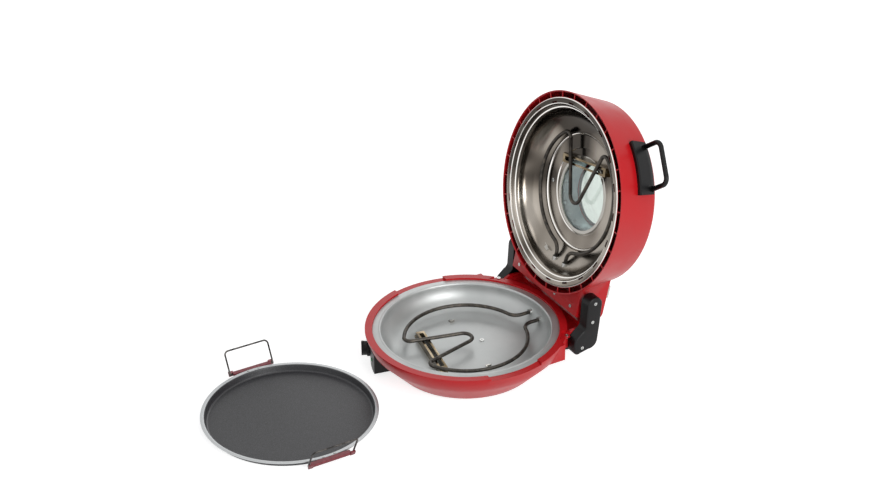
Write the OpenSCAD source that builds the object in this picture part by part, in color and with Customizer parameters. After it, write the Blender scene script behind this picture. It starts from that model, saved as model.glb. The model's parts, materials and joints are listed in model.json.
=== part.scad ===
// Electric pizza maker: a round sheet-steel cooker with a deep hinged lid, a window
// in the lid, a tube heater above and one below, and a lift-out baking tray.
// Millimetres. The origin is on the table under the centre of the round body,
// +X to the user's right, +Y towards the hinge at the back, +Z up.
// The parts are drawn with the lid standing open, which is how the cooker rests.

/* [Base] */
// Radius of the round body and of the lid at their rims
body_r = 174; // [168:0.5:182]
// Height of the cooking rim above the table
rim_z = 70; // [66:0.5:80]
// How far the red rim stands above the liner's flange
rim_lip = 3; // [2:0.5:4]
// How far inside the rim's edge the crease runs round the body
crease_in = 8; // [6:0.5:12]
// Drop from the cooking rim to the crease
crease_drop = 21; // [15:0.5:24]
// How far inside the rim's edge the flat bottom of the body ends
floor_in = 48; // [44:0.5:54]
// Height of the rubber feet and the bottom plate together
foot_h = 6; // [5:0.5:8]
// Thickness of the red sheet steel
sheet = 1.2; // [0.8:0.1:1.6]
// Half the length of the low stretch of rim that the tray's ears pass
notch_half = 48.5; // [44:0.5:54]
// Depth of that low stretch and of the liner's seat below the cooking rim
seat_drop = 1; // [0.9:0.1:1.5]

/* [Hinge block] */
// How far inside the body's sides the flat-sided shoulders behind the bowl stand
shoulder_in = 34; // [30:0.5:40]
// How far in front of the body's rearmost point the shoulders end
shoulder_front = 61; // [57:0.5:65]
// Depth of the shoulders below the cooking rim
shoulder_drop = 27; // [23:0.5:32]
// How far inside the body's sides the ledge between the shoulders and the arms ends
ledge_in = 56; // [52:0.5:59]
// How far in front of the body's rearmost point the ledge's tab ends
ledge_front = 36.5; // [36:0.5:40]
// Length of the flat tab at the ledge's back that a screw goes through
tab_l = 10; // [8:0.5:11]
// Depth of the ledge block below the cooking rim
ledge_drop = 42; // [38:0.5:46]
// How far inside the body's sides the hinge block between the arms stands
block_in = 65.3; // [64:0.1:68]
// How far the hinge block reaches behind the round body
block_back = 20; // [18:0.5:30]
// Depth of the hinge block below the cooking rim
block_drop = 27; // [24:0.5:30]
// Width of the raised cheek along each side of the hinge block
cheek_w = 4.7; // [4:0.1:6]
// Height of a raised cheek above the cooking rim
cheek_h = 5; // [4:0.5:7]
// How far inside a cheek the sunken deck ends
deck_in = 7; // [5:0.5:12]
// How far the sunken deck reaches behind the round body
deck_back = 2; // [0.5:0.5:6]
// Depth of the sunken deck below the cooking rim
deck_drop = 6; // [3:0.5:9]
// Thickness of the black stand under the hinge block
stand_t = 4.5; // [3:0.5:6]
// Distance of the two legs from the centre line
leg_x = 46; // [36:0.5:60]
// How far behind the round body's rearmost point the two legs stand
leg_back = 2; // [-6:0.5:6]
// Radius of a leg
leg_r = 13; // [10:0.5:15]

/* [Lower liner] */
// How far inside the rim's edge the grey liner's flange ends
liner_in = 13; // [10:0.5:18]
// Width of the grey liner's flange
liner_flange = 12; // [9:0.5:14]
// Depth of the grey liner
liner_depth = 38; // [34:0.5:42]
// How far inside the flange's edge the liner's flat floor ends
liner_floor_in = 51; // [45:0.5:57]
// Thickness of the liner's steel
liner_t = 0.8; // [0.6:0.1:1.2]

/* [Lid] */
// Depth of the lid from its rim to its top
lid_h = 87.5; // [82:0.5:96]
// How much the lid's side draws in from rim to top
lid_taper = 18.5; // [12:0.5:24]
// Radius of the rounding at the lid's top edge
lid_round = 10; // [6:0.5:16]
// Gap between the two rims when the lid is closed
lid_gap = 0.3; // [0.2:0.1:1]
// How far the lid is swung back where it stands open
open_angle = 102.65; // [95:0.05:104]
// Number of slots in the lid's rim
rim_slots = 30; // [24:1:36]
// Angle of the red web between two slots
slot_web = 0.6; // [0.4:0.1:1.5]
// Gap between the lid's hinge box and a raised cheek
box_gap = 1; // [0.6:0.1:3]
// How far the closed lid's hinge box reaches behind the round body
box_back = 22; // [19:0.5:25]
// Height of the hinge box's front panel above the lid's rim
box_low = 13; // [10:0.5:15]
// Height of the hinge box's back above the lid's rim
box_high = 70; // [66:0.5:74]
// Radius of the rounding at the hinge box's end
box_round = 12; // [8:0.5:14]

/* [Lid liner and window] */
// How far inside the lid's edge the bright liner's flange ends
lid_liner_in = 12; // [9:0.5:16]
// How far inside the flange's edge the step runs
lid_step_in = 10.5; // [8:0.5:13]
// How far inside the step the deep dish starts
dish_in = 6.5; // [4.5:0.5:9.5]
// Depth of the dish's flat floor
dish_depth = 48; // [44:0.5:52]
// How far inside the dish's edge the ridge round its flat floor runs
ridge_in = 43.5; // [39:0.5:49]
// Radius of the window's bright ring
window_r = 68; // [62:0.5:74]
// Radius of the round opening in the lid's top
porthole_r = 56; // [50:0.5:58]
// How far the window sits from the lid's middle towards the hinge
window_shift = 6; // [0:0.5:8]
// Thickness of each window glass
glass_t = 3; // [2:0.5:4]
// Number of small pressed tabs round the window's tunnel
tunnel_tabs = 20; // [12:1:24]

/* [Heaters] */
// Diameter of a heater tube
tube_d = 6.5; // [5:0.5:8]
// How far inside the edge of the liner's flat floor a heater's outer run lies
element_in = 3; // [0:0.5:6]
// Distance of a heater's ends from the centre line
terminal_x = 15; // [12:0.5:18]
// Radius of the bend beside each heater end
shoulder_bend = 20; // [16:0.5:24]
// Radius of a heater's tight outer turns
turn_bend = 11; // [9:0.5:13]
// Radius of a heater's inner tip
tip_bend = 15; // [13:0.5:18]
// Depth of the lower heater below the cooking rim
lower_depth = 21; // [18:0.5:24]
// How far the lower heater's tip lies behind the middle
lower_tip_y = 10; // [4:0.5:16]
// Lean of the lower heater's inner legs
lower_lean = 14; // [10:0.5:20]
// Depth of the upper heater above the lid's rim
upper_depth = 35; // [30:0.5:37]
// How far the upper heater's tip lies behind the middle
upper_tip_y = 20; // [14:0.5:24]
// Lean of the upper heater's inner legs
upper_lean = 20; // [16:0.5:24]
// Length of a heater's support bar
bar_l = 150; // [136:1:152]
// Width of a heater's support bar
bar_w = 15; // [12:0.5:18]
// Skew of the support bars
bar_skew = 10; // [0:1:14]
// How far the lower bar lies in front of the middle
lower_bar_y = 68; // [60:0.5:74]
// How far the upper bar lies in front of the middle
upper_bar_y = 50; // [40:0.5:56]

/* [Hinge] */
// How far the hinge pins lie behind the round body's rearmost point
pivot_back = 1.6; // [0:0.1:3]
// Height of the hinge pins above the cooking rim
pivot_rise = 32.8; // [32:0.1:36]
// Radius of a hinge pin
pin_r = 4; // [3:0.25:4.5]
// Running clearance round a hinge pin
pin_clear = 0.05; // [0.03:0.01:0.1]
// Gap between the hinge block and an arm
arm_gap = 0.3; // [0.2:0.1:0.5]
// Thickness of a black arm
arm_w = 21; // [19:0.1:26]
// Height of a black arm from its foot to its top
arm_h = 99; // [96:0.5:102]
// Thickness of a hinge plate
plate_t = 3; // [2:0.5:4]
// Wall of an arm's black cover
cover_wall = 2.5; // [2:0.25:3]

/* [Handle] */
// Direction of the handle, round from the lid's right side towards its front
handle_angle = 37; // [30:1:60]
// Half the angle that the handle's black pad covers
pad_half = 15.5; // [14:0.5:18]
// Height of the pad's near edge above the lid's rim
pad_low = 40; // [36:0.5:46]
// Width of the pad
pad_w = 36; // [32:0.5:40]
// Thickness of the pad
pad_t = 8; // [6:0.5:10]
// Half the distance between the bow's legs
bow_half = 36; // [32:0.5:39]
// Reach of the bow from the lid's side
bow_reach = 44; // [38:0.5:50]
// Diameter of the bow's bar
bow_d = 8.5; // [7:0.5:10]
// Radius of the bow's corners
bow_bend = 12; // [9:0.5:14]

/* [Tray] */
// Radius of the tray's rim
tray_r = 148; // [140:0.5:150]
// Depth of the tray
tray_h = 13; // [10:0.5:16]
// Thickness of the tray's metal
tray_t = 1.4; // [1:0.1:2]
// Width of the tray's flat rim
tray_rim = 6; // [4:0.5:9]
// Gap between the round body and the rim of the tray that lies in front of it
tray_gap = 16; // [10:1:58]
// Length of an ear
ear_l = 70; // [60:1:80]
// Width of an ear
ear_w = 8; // [6:0.5:10]
// Thickness of an ear
ear_t = 5; // [4.5:0.25:6]
// Width of a bail between the middles of its legs
bail_w = 80; // [77:0.5:88]
// Length of a bail from its pivot to the middle of its grip
bail_l = 41; // [36:0.5:48]
// Diameter of a bail's wire
wire_d = 3; // [2.5:0.25:3.5]
// Outward lean of a bail where it rests on its stop
bail_lean = 28; // [15:1:40]

/* [Controls] */
// How far round from the front the controls sit, less than nothing being to the left
pod_turn = -30; // [-34:1:0]
// Half the angle that the black control housing covers
pod_half = 19; // [16:0.5:22]
// Height of the control housing's lower edge
pod_low = 9; // [8:0.5:12]
// Height of the control housing's upper edge
pod_high = 47; // [44:0.5:48.5]
// How far inside the rim's edge the control housing's face lies
pod_in = 8; // [4:0.5:11]
// Radius of the dial
dial_r = 14.5; // [12:0.5:16]
// Thickness of the dial
dial_t = 12; // [9:0.5:15]
// Height of the dial's shaft
dial_z = 28; // [27:0.5:30]
// Angle between the dial and each pilot lamp
lamp_angle = 13; // [12:0.5:14]
// Radius of a pilot lamp
lamp_r = 3.5; // [2.5:0.25:4]

/* [Hidden] */
$fn = 96;

// Colours as the photograph shows them
red = "#B8242A";
ear_red = "#8E3038";
black = "#1E1E20";
rubber = "#2A2A2A";
satin = "#9EA3A3";
bright = "#C9CBCB";
heater = "#4E4A45";
bronze = "#6B5E50";
silver = "#C2C2C0";
ceramic = "#E6E0D2";
clear = "#BFD0CE";
brass = "#B9975B";
pale = "#D8D8D4";

// Radii and places that follow from the round body's radius
crease_r = body_r - crease_in;
floor_r = body_r - floor_in;
liner_r = body_r - liner_in;
liner_floor_r = liner_r - liner_floor_in;
lid_r = body_r;
lid_liner_r = lid_r - lid_liner_in;
lid_step_r = lid_liner_r - lid_step_in;
dish_r = lid_step_r - dish_in;
ridge_r = dish_r - ridge_in;
element_r = liner_floor_r - element_in;
shoulder_x = body_r - shoulder_in;
shoulder_y = body_r - shoulder_front;
ledge_x = body_r - ledge_in;
ledge_y = body_r - ledge_front;
block_x = body_r - block_in;
block_y = body_r + block_back;
cheek_x = block_x - cheek_w;
deck_x = cheek_x - deck_in;
deck_y = body_r + deck_back;
leg_y = body_r + leg_back;
box_x = cheek_x - box_gap;
box_y = body_r + box_back;
pivot_y = body_r + pivot_back;
pod_r = body_r - pod_in;
tray_y = body_r + tray_gap + tray_r;

// Heights in the standing cooker
rim_top = rim_z + rim_lip;
seat_z = rim_z - seat_drop;
crease_z = rim_z - crease_drop;
shoulder_z = rim_z - shoulder_drop;
ledge_z = rim_z - ledge_drop;
block_z = rim_z - block_drop;
deck_z = rim_z - deck_drop;
pivot_z = rim_z + pivot_rise;
lid_z = rim_top + lid_gap;
liner_z = seat_z + liner_t;
lower_z = rim_z - lower_depth;
stand_z = block_z - stand_t;

// Radii that fit into each other in the base
slip = 0.4;
shell_in_r = liner_r + slip;
well_r = liner_r - 9;
bottom_hole_r = floor_r - 16;
bottom_plate_r = floor_r - 10;
foot_pad = 3;

// The lid's own frame has its origin in the middle of the lid's rim plane
taper = lid_taper / lid_h;
taper_a = atan(taper);
pivot_s = pivot_z - lid_z;
flange_s = 1;
tube_r = tube_d / 2;

// Screws: shank, head and the depth of the cross recess
screw_r = 1.6;
head_r = 3;
head_h = 1.6;

function arc(c, r, a0, a1, n) = [for (i = [0:n]) let(a = a0 + (a1 - a0) * i / n) c + r * [cos(a), sin(a)]];
function unit(v) = v / norm(v);
function left(v) = [-v[1], v[0]];
// The points of a line moved to its left by t
function beside(p, t) = [for (i = [0:len(p) - 1])
  let(a = i > 0 ? unit(p[i] - p[i - 1]) : unit(p[1] - p[0]),
      b = i < len(p) - 1 ? unit(p[i + 1] - p[i]) : a,
      m = unit(left(a) + left(b)))
  p[i] + m * t / (m * left(a))];
function back(p) = [for (i = [len(p) - 1:-1:0]) p[i]];
function lid_side(s) = lid_r - s * taper;

// Where a point of the closed lid stands once the lid is open
function opened(y, s) = let(dy = y - pivot_y, dz = s - pivot_s)
  [pivot_y + dy * cos(open_angle) + dz * sin(open_angle),
   pivot_z - dy * sin(open_angle) + dz * cos(open_angle)];

// A sheet of thickness t, turned about Z, with the line p as its right-hand face
module turned_sheet(p, t) {
  rotate_extrude() polygon(concat(p, back(beside(p, t))));
}

module ring(r_out, r_in, h) {
  difference() {
    cylinder(r = r_out, h = h);
    translate([0, 0, -1]) cylinder(r = r_in, h = h + 2);
  }
}

// A box between two corners
module block(a, b) {
  translate(a) cube(b - a);
}

module both_sides() {
  children();
  mirror([1, 0, 0]) children();
}

// An outline in Y and Z, drawn out along X from x0 to x1
module along_x(x0, x1) {
  translate([x0, 0, 0]) rotate([90, 0, 90]) linear_extrude(x1 - x0) children();
}

// Puts what is drawn in the lid's frame where the open lid stands
module in_lid() {
  translate([0, pivot_y, pivot_z]) rotate([-open_angle, 0, 0])
    translate([0, -pivot_y, -pivot_s]) children();
}

// A pan-head screw whose head's underside is at the origin and whose shank points down
module screw(r, head, h, l) {
  difference() {
    union() {
      cylinder(r = head, h = h);
      translate([0, 0, -l]) cylinder(r = r, h = l);
    }
    translate([0, 0, h]) cube([head * 1.1, head * 0.28, h], center = true);
    translate([0, 0, h]) cube([head * 0.28, head * 1.1, h], center = true);
  }
}

// A bend is this much fatter than the straight tube, and the straight tube runs this far into it
bend_more = 0.03;
run_into = 0.3;

// A straight tube between two points of one level, with its ends drawn longer by p_more and q_more
module run(p, q, r, p_more = 0, q_more = 0) {
  d = unit(q - p);
  a = p - d * p_more;
  translate([a[0], a[1], 0]) rotate([0, 0, atan2(d[1], d[0])]) rotate([0, 90, 0])
    cylinder(r = r, h = norm(q - p) + p_more + q_more);
}

// A tube bent round the centre c from angle a0 to angle a1
module bend(c, bend_r, a0, a1, r) {
  translate([c[0], c[1], 0]) rotate([0, 0, a0]) rotate_extrude(angle = a1 - a0)
    translate([bend_r, 0]) circle(r = r);
}

// Base

bowl_line = [[0, foot_h], [floor_r, foot_h], [crease_r, crease_z], [body_r, rim_z], [body_r, rim_top],
  [0, rim_top]];

module bowl_form(t) {
  rotate_extrude() polygon(t > 0 ? beside(bowl_line, t) : bowl_line);
}

// The shoulders, the ledge block and the hinge block with its cheeks, each drawn in by t
module back_form(t) {
  front = body_r / 4;
  block([-shoulder_x + t, front, shoulder_z + t], [shoulder_x - t, shoulder_y - t, rim_top - t]);
  block([-ledge_x + t, front, ledge_z + t], [ledge_x - t, ledge_y - tab_l - t, rim_z - t]);
  block([-block_x + t, front, block_z + t], [block_x - t, block_y - t, rim_z - t]);
  both_sides() along_x(cheek_x + t, block_x - t) polygon([[cheek_front + t, rim_z - cheek_h],
    [cheek_front + t, rim_z + 1 - t], [cheek_front + cheek_h * 1.8, rim_z + cheek_h - t],
    [block_y - 4 - t, rim_z + cheek_h - t], [block_y - 4 - t, rim_z - cheek_h]]);
}

cheek_front = ledge_y + 5.5;

// What the sunken deck takes away, made larger by t
module deck_form(t) {
  difference() {
    block([-deck_x - t, shoulder_y, deck_z - t], [deck_x + t, deck_y + t, rim_top + 1]);
    translate([0, 0, deck_z - t - 1]) cylinder(r = body_r - t, h = rim_top);
  }
}

// What the low stretches of rim take away, made larger by t
module notch_form(t) {
  in_x = sqrt(pow(shell_in_r, 2) - pow(notch_half + 2, 2)) - 1;
  both_sides() block([in_x, -notch_half - t, seat_z - t], [body_r + 2, notch_half + t, rim_top + 1]);
}

// The two pockets in the raised rim that hold the ledge's screws, made larger by t
module pocket_form(t) {
  difference() {
    both_sides() block([ledge_x - 18 - t, shoulder_y, rim_z - t], [ledge_x + t, ledge_y + 2, rim_top + 1]);
    translate([0, 0, shoulder_z]) cylinder(r = shell_in_r + 3.6 - t, h = rim_top);
  }
}

module base_shell() {
  color(red) difference() {
    union() {
      bowl_form(0);
      back_form(0);
      block([-ledge_x, ledge_y - tab_l - sheet, rim_z - sheet], [ledge_x, ledge_y, rim_z]);
    }
    difference() {
      union() {
        bowl_form(sheet);
        back_form(sheet);
      }
      translate([0, 0, seat_z - sheet]) cylinder(r = shell_in_r + sheet, h = rim_top);
      notch_form(sheet);
      deck_form(sheet);
      pocket_form(sheet);
    }
    deck_form(0);
    notch_form(0);
    pocket_form(0);
    translate([0, 0, seat_z]) cylinder(r = shell_in_r, h = rim_lip + 5);
    translate([0, 0, shoulder_z]) cylinder(r = well_r, h = rim_top);
    translate([0, 0, foot_h - 1]) cylinder(r = bottom_hole_r, h = sheet + 2);
    for (a = [45:90:315]) rotate([0, 0, a]) translate([bottom_screw_at, 0, foot_h - 1])
      cylinder(r = screw_r, h = sheet + 2);
    both_sides() {
      translate([ledge_screw_x, ledge_screw_y, rim_z - sheet - 1]) cylinder(r = screw_r, h = sheet + 2);
      for (p = plate_bolts) translate([block_x - sheet - 1, p[0], p[1]]) rotate([0, 90, 0])
        cylinder(r = bolt_r, h = sheet + 2);
    }
    front_turn(0) cylinder(r = shaft_r + slip, h = body_r);
    inlet_hole();
    for (x = stand_bolts) translate([x, leg_y, block_z - 1]) cylinder(r = screw_r, h = sheet + 2);
  }
}

bottom_screw_at = bottom_hole_r + 3;
ledge_screw_x = ledge_x - 5.3;
ledge_screw_y = ledge_y - 3.6;

module bottom_plate() {
  color(black) difference() {
    translate([0, 0, foot_h - sheet]) cylinder(r = bottom_plate_r, h = sheet);
    for (a = [45:90:315]) rotate([0, 0, a]) translate([bottom_screw_at, 0, 0])
      cylinder(r = screw_r, h = foot_h + 1);
    for (a = [0:30:330]) rotate([0, 0, a]) translate([bottom_plate_r * 0.43, 0, 0]) vent();
    for (a = [-60, -120, 20, 160]) rotate([0, 0, a]) translate([foot_at, 0, 0])
      cylinder(r = screw_r, h = foot_h + 1);
  }
}

// One cooling slot in the bottom plate
module vent() {
  block([-14, -2, 0], [14, 2, foot_h + 1]);
}

module bottom_screws() {
  color(silver) for (a = [45:90:315]) rotate([0, 0, a]) translate([bottom_screw_at, 0, foot_h - sheet])
    mirror([0, 0, 1]) screw(screw_r, head_r, head_h, sheet * 2 + 3);
}

foot_at = bottom_plate_r - 18;
foot_r = 11;

module rubber_feet() {
  color(rubber) for (a = [-60, -120, 20, 160]) rotate([0, 0, a]) translate([foot_at, 0, 0]) {
    cylinder(r = foot_r, h = foot_h - sheet);
    cylinder(r = screw_r, h = foot_h + 3);
    translate([0, 0, foot_h]) cylinder(r = screw_r + 1.2, h = 2);
  }
}

stand_bolts = [-leg_x - 24, 0, leg_x + 24];
stand_front = crease_r - 4;

module rear_stand() {
  color(black) {
    difference() {
      block([-block_x + 8, stand_front, stand_z], [block_x - 8, block_y - 3, block_z]);
      for (x = stand_bolts) translate([x, leg_y, stand_z - 1]) cylinder(r = screw_r, h = stand_t + 2);
    }
    both_sides() translate([leg_x, leg_y, foot_pad]) difference() {
      cylinder(r = leg_r, h = stand_z - foot_pad);
      translate([0, 0, -1]) cylinder(r = leg_r - 3, h = stand_z - foot_pad - 2);
    }
  }
  color(silver) for (x = stand_bolts) translate([x, leg_y, stand_z]) mirror([0, 0, 1])
    screw(screw_r, head_r, head_h, stand_t + sheet + 2);
}

module rear_feet() {
  color(rubber) both_sides() translate([leg_x, leg_y, 0]) {
    cylinder(r = leg_r, h = foot_pad);
    cylinder(r = leg_r - 3, h = foot_pad + 5);
  }
}

// The liner: flange, rolled bead, curved wall and flat floor
liner_wall_r = liner_r - 15;
liner_floor_z = rim_z - liner_depth;
liner_top_z = rim_z - 3;

liner_line = concat(
  [[0, liner_floor_z]],
  arc_xy([liner_floor_r, liner_top_z], liner_wall_r - liner_floor_r, liner_top_z - liner_floor_z,
    -90, 0, 14),
  [[liner_wall_r + 0.6, rim_z], [liner_wall_r + 1.6, rim_z + 1], [liner_wall_r + 3, rim_z + 0.6],
   [liner_r - liner_flange, liner_z], [liner_r, liner_z]]);

// A quarter of an ellipse, given by its middle and its two half axes
function arc_xy(c, rx, ry, a0, a1, n) = [for (i = [0:n]) let(a = a0 + (a1 - a0) * i / n)
  [c[0] + rx * cos(a), c[1] + ry * sin(a)]];

bush_r = 5.5;
liner_screw_y = 32;

module base_liner() {
  color(satin) difference() {
    turned_sheet(liner_line, -liner_t);
    both_sides() translate([terminal_x, liner_floor_r, lower_z]) rotate([-90, 0, 0])
      cylinder(r = bush_r, h = liner_r);
    translate([0, liner_screw_y, 0]) cylinder(r = screw_r, h = rim_z);
    lower_bar_at() for (x = [-bar_screw_x, bar_screw_x]) translate([x, 0, 0])
      cylinder(r = screw_r, h = liner_floor_z + 1);
  }
}

module liner_floor_screw() {
  color(silver) translate([0, liner_screw_y, liner_floor_z]) screw(screw_r, head_r + 1, head_h, 6);
}

// Heaters

tail_l = 5.5;
tail_r = 1.5;

// A bent heater tube in its own plane: tip_y is its tip, lean the slope of its inner legs
module heater_form(tip_y, lean, end_y) {
  tip = [0, tip_y - tip_bend];
  across = [cos(lean), sin(lean)];
  along = [sin(lean), -cos(lean)];
  from = tip + (tip_bend + turn_bend) * across;
  leg_l = -(from * along) + sqrt(pow(from * along, 2) - from * from + pow(element_r - turn_bend, 2));
  turn = from + leg_l * along;
  out_a = atan2(turn[1], turn[0]);
  fillet_y = sqrt(pow(element_r + shoulder_bend, 2) - pow(terminal_x + shoulder_bend, 2));
  fillet_a = atan2(fillet_y, terminal_x + shoulder_bend);
  more_a = run_into / element_r * 180 / PI;
  bend(tip, tip_bend, lean, 180 - lean, tube_r + bend_more);
  both_sides() {
    run(tip + tip_bend * across, tip + tip_bend * across + leg_l * along, tube_r, run_into, run_into);
    bend(turn, turn_bend, 180 + lean, 360 + out_a, tube_r + bend_more);
    bend([0, 0], element_r, out_a - more_a, fillet_a + more_a, tube_r);
    bend([terminal_x + shoulder_bend, fillet_y], shoulder_bend, 180, 180 + fillet_a, tube_r + bend_more);
    run([terminal_x, fillet_y], [terminal_x, end_y], tube_r, run_into, 0);
    run([terminal_x, end_y], [terminal_x, end_y + tail_l], tail_r);
  }
}

bush_y = liner_wall_r - 9;
element_end_y = bush_y + 14;

module lower_element() {
  color(heater) translate([0, 0, lower_z]) heater_form(lower_tip_y, lower_lean, element_end_y);
}

// A collar round each heater end, from y0 to y1
module collars(y0, y1) {
  both_sides() translate([terminal_x, y0, 0]) rotate([-90, 0, 0]) ring(bush_r, tube_r, y1 - y0);
}

module lower_bushes() {
  color(silver) translate([0, 0, lower_z]) collars(bush_y, bush_y + 9);
}

// Two small tabs stand on the liner's floor, inside the heater's outer run
tab_at = [[element_r * 0.75, -0.5], [-element_r * 0.72, 17.5]];
clip_w = 8;
clip_t = 1;
clip_h = 5;

module lower_clips() {
  color(bright) for (p = tab_at) translate([p[0], p[1], liner_floor_z]) {
    block([-clip_w, -clip_w / 2, 0], [0, clip_w / 2, clip_t]);
    block([-clip_t, -clip_w / 2, 0], [0, clip_w / 2, clip_h]);
  }
}

// The support bar: a channel under the two legs with a flat foot at each end
bar_t = 1;
bar_foot = 13;
bar_screw_x = bar_l / 2 - bar_foot / 2;

module bar_form(h) {
  half = bar_l / 2;
  w = bar_w / 2;
  in = half - bar_foot;
  difference() {
    union() {
      block([-in, -w, 0], [in, w, h]);
      block([-half + w, -w, 0], [half - w, w, bar_t]);
      for (x = [-half + w, half - w]) translate([x, 0, 0]) cylinder(r = w, h = bar_t);
    }
    block([-in + bar_t, -w + bar_t, -1], [in - bar_t, w - bar_t, h - bar_t]);
    block([-in * 0.9, -w * 0.5, h - bar_t - 1], [in * 0.9, w * 0.5, h + 1]);
    for (x = [-bar_screw_x, bar_screw_x]) translate([x, 0, -1]) cylinder(r = screw_r, h = h + 2);
  }
}

module bar_screws_form() {
  for (x = [-bar_screw_x, bar_screw_x]) translate([x, 0, bar_t]) screw(screw_r, head_r, head_h, 6);
}

module lower_bar_at() {
  translate([0, -lower_bar_y, 0]) rotate([0, 0, -bar_skew]) children();
}

module lower_support_bar() {
  color(bronze) translate([0, 0, liner_floor_z]) lower_bar_at() bar_form(lower_z - tube_r - liner_floor_z);
}

module lower_bar_screws() {
  color(silver) translate([0, 0, liner_floor_z]) lower_bar_at() bar_screws_form();
}

// Inside the base

fix_y = element_end_y + 8.5;
fix_h = 11;
wire_r = 1.3;
lead_top = block_z + sheet + fix_h + wire_r;
inlet_x = -60;
inlet_w = 28;
inlet_h = 15;
inlet_z = block_z + sheet + inlet_h / 2 + 1;

module terminal_block() {
  color(ceramic) difference() {
    block([-24, fix_y - 8, block_z + sheet], [24, fix_y + 8, block_z + sheet + fix_h]);
    for (x = [-7.5, -2.5, 2.5, 7.5]) translate([x, fix_y, block_z + 5]) cylinder(r = 1.6, h = 20);
    both_sides() translate([terminal_x, element_end_y - 1, lower_z]) rotate([-90, 0, 0])
      cylinder(r = tail_r, h = tail_l + 1.1);
  }
  color(brass) for (x = [-7.5, -2.5, 2.5, 7.5]) translate([x, fix_y, block_z + 5]) cylinder(r = 1.6, h = 7);
}

thermostat_y = 58;
fuse_at = [30, 50];
fuse_half = 20;

module thermostat() {
  color(silver) translate([0, thermostat_y, liner_floor_z - liner_t - 11]) {
    cylinder(r = 9, h = 7);
    translate([0, 0, 7]) cylinder(r = 7, h = 4);
    block([-13, -4, 8], [13, 4, 9]);
  }
}

module thermal_fuse() {
  color(silver) translate([fuse_at[0], fuse_at[1], liner_floor_z - liner_t - 3]) rotate([90, 0, 0]) {
    cylinder(r = 3, h = 14, center = true);
    cylinder(r = 0.8, h = 2 * fuse_half, center = true);
  }
}

// A lead through the given points, whose straight stretches overlap at each elbow
module lead(p) {
  lap = wire_r * 0.6;
  for (i = [0:len(p) - 2]) {
    d = p[i + 1] - p[i];
    translate(p[i]) rotate([0, acos(d[2] / norm(d)), atan2(d[1], d[0])]) translate([0, 0, -lap])
      cylinder(r = wire_r, h = norm(d) + 2 * lap, $fn = 16);
  }
}

// The way from a terminal at x over the edge of the liner and down behind it
function lead_down(x) = [[x, fix_y, lead_top], [x, liner_wall_r + 2.5, lead_top],
  [x, liner_wall_r + 1, lower_z],
  [x, ledge_y - 2, ledge_z + 6], [x, liner_floor_r + 8, liner_floor_z - 9]];

// A point beside the controls, turned round with them
function by_pod(p) = let(c = cos(pod_turn), s = sin(pod_turn))
  [p[0] * c - p[1] * s, p[0] * s + p[1] * c, p[2]];

module base_wires() {
  low = liner_floor_z - liner_t - 9;
  fuse_x = fuse_at[0];
  fuse_front = fuse_at[1] - fuse_half;
  fuse_back = fuse_at[1] + fuse_half;
  color("#B5413B") {
    lead(concat(lead_down(-7.5), [[-10, thermostat_y + 11, low]]));
    lead([[10, thermostat_y - 2, low + 1], [fuse_x - 10, fuse_front + 4, low + 1],
      [fuse_x, fuse_front - 1.8, low + 6]]);
    lead(concat(lead_down(2.5), [[14, 96, 12], [12, -48, 13], [-8, -78, 15],
      by_pod([8, regulator_y + 23.4, 20])]));
  }
  color("#3F5E86") {
    lead(concat(lead_down(-2.5), [[fuse_x - 8, 88, low + 2], [fuse_x, fuse_back + 1.6, low + 6]]));
    lead(concat(lead_down(7.5), [[44, 20, 15], [36, -52, 14], [4, -92, 16],
      by_pod([12, regulator_y + 23.4, 24])]));
    lead([[-26, fix_y, lead_top - 6], [-44, fix_y + 6, lead_top - 6], [inlet_x, block_y - 17, inlet_z]]);
  }
}

module inlet_hole() {
  block([inlet_x - inlet_w / 2, block_y - sheet - 1, inlet_z - inlet_h / 2],
    [inlet_x + inlet_w / 2, block_y + 1, inlet_z + inlet_h / 2]);
}

module power_inlet() {
  w = inlet_w / 2;
  h = inlet_h / 2;
  color(black) translate([inlet_x, block_y, inlet_z]) difference() {
    union() {
      block([-w - 4, 0, -h - 1], [w + 4, 2.5, h + 1]);
      block([-w, -15, -h], [w, 0, h]);
    }
    block([-w + 2.5, -12, -h + 2.5], [w - 2.5, 4, h - 2.5]);
    for (x = [-6, 0, 6]) translate([x, -16, 0]) rotate([-90, 0, 0]) cylinder(r = 1.2, h = 6);
  }
}

module inlet_pins() {
  color(brass) for (x = [-6, 0, 6]) translate([inlet_x + x, block_y - 15, inlet_z]) rotate([-90, 0, 0])
    cylinder(r = 1.2, h = 12);
}

// Controls at the front

shaft_r = 3;
regulator_y = -floor_r - 2;

// Turns a Z-axis shape to point out at the dial's height, turned round by a from the dial
module front_turn(a) {
  rotate([0, 0, pod_turn + a]) translate([0, 0, dial_z]) rotate([90, 0, 0]) children();
}

module pod_sector(r_out, z0, z1) {
  rotate([0, 0, pod_turn - 90 - pod_half]) rotate_extrude(angle = 2 * pod_half)
    polygon([[floor_r - 6, z0], [r_out, z0], [r_out, z1], [floor_r - 6, z1]]);
}

module control_housing() {
  color(black) difference() {
    pod_sector(pod_r, pod_low, pod_high);
    bowl_form(0);
    front_turn(0) cylinder(r = shaft_r + pin_clear, h = body_r);
    for (a = [-lamp_angle, lamp_angle]) front_turn(a) cylinder(r = lamp_r, h = body_r);
  }
}

lamp_in = 9;

module lamp(a, tint) {
  color(tint) front_turn(a) translate([0, 0, pod_r - lamp_in]) {
    cylinder(r = lamp_r, h = lamp_in + 0.8);
    translate([0, 0, lamp_in + 0.8]) cylinder(r1 = lamp_r, r2 = lamp_r - 1, h = 1);
  }
}

module lamp_red() { lamp(-lamp_angle, "#D8342B"); }

module lamp_green() { lamp(lamp_angle, "#2FA35A"); }

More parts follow.
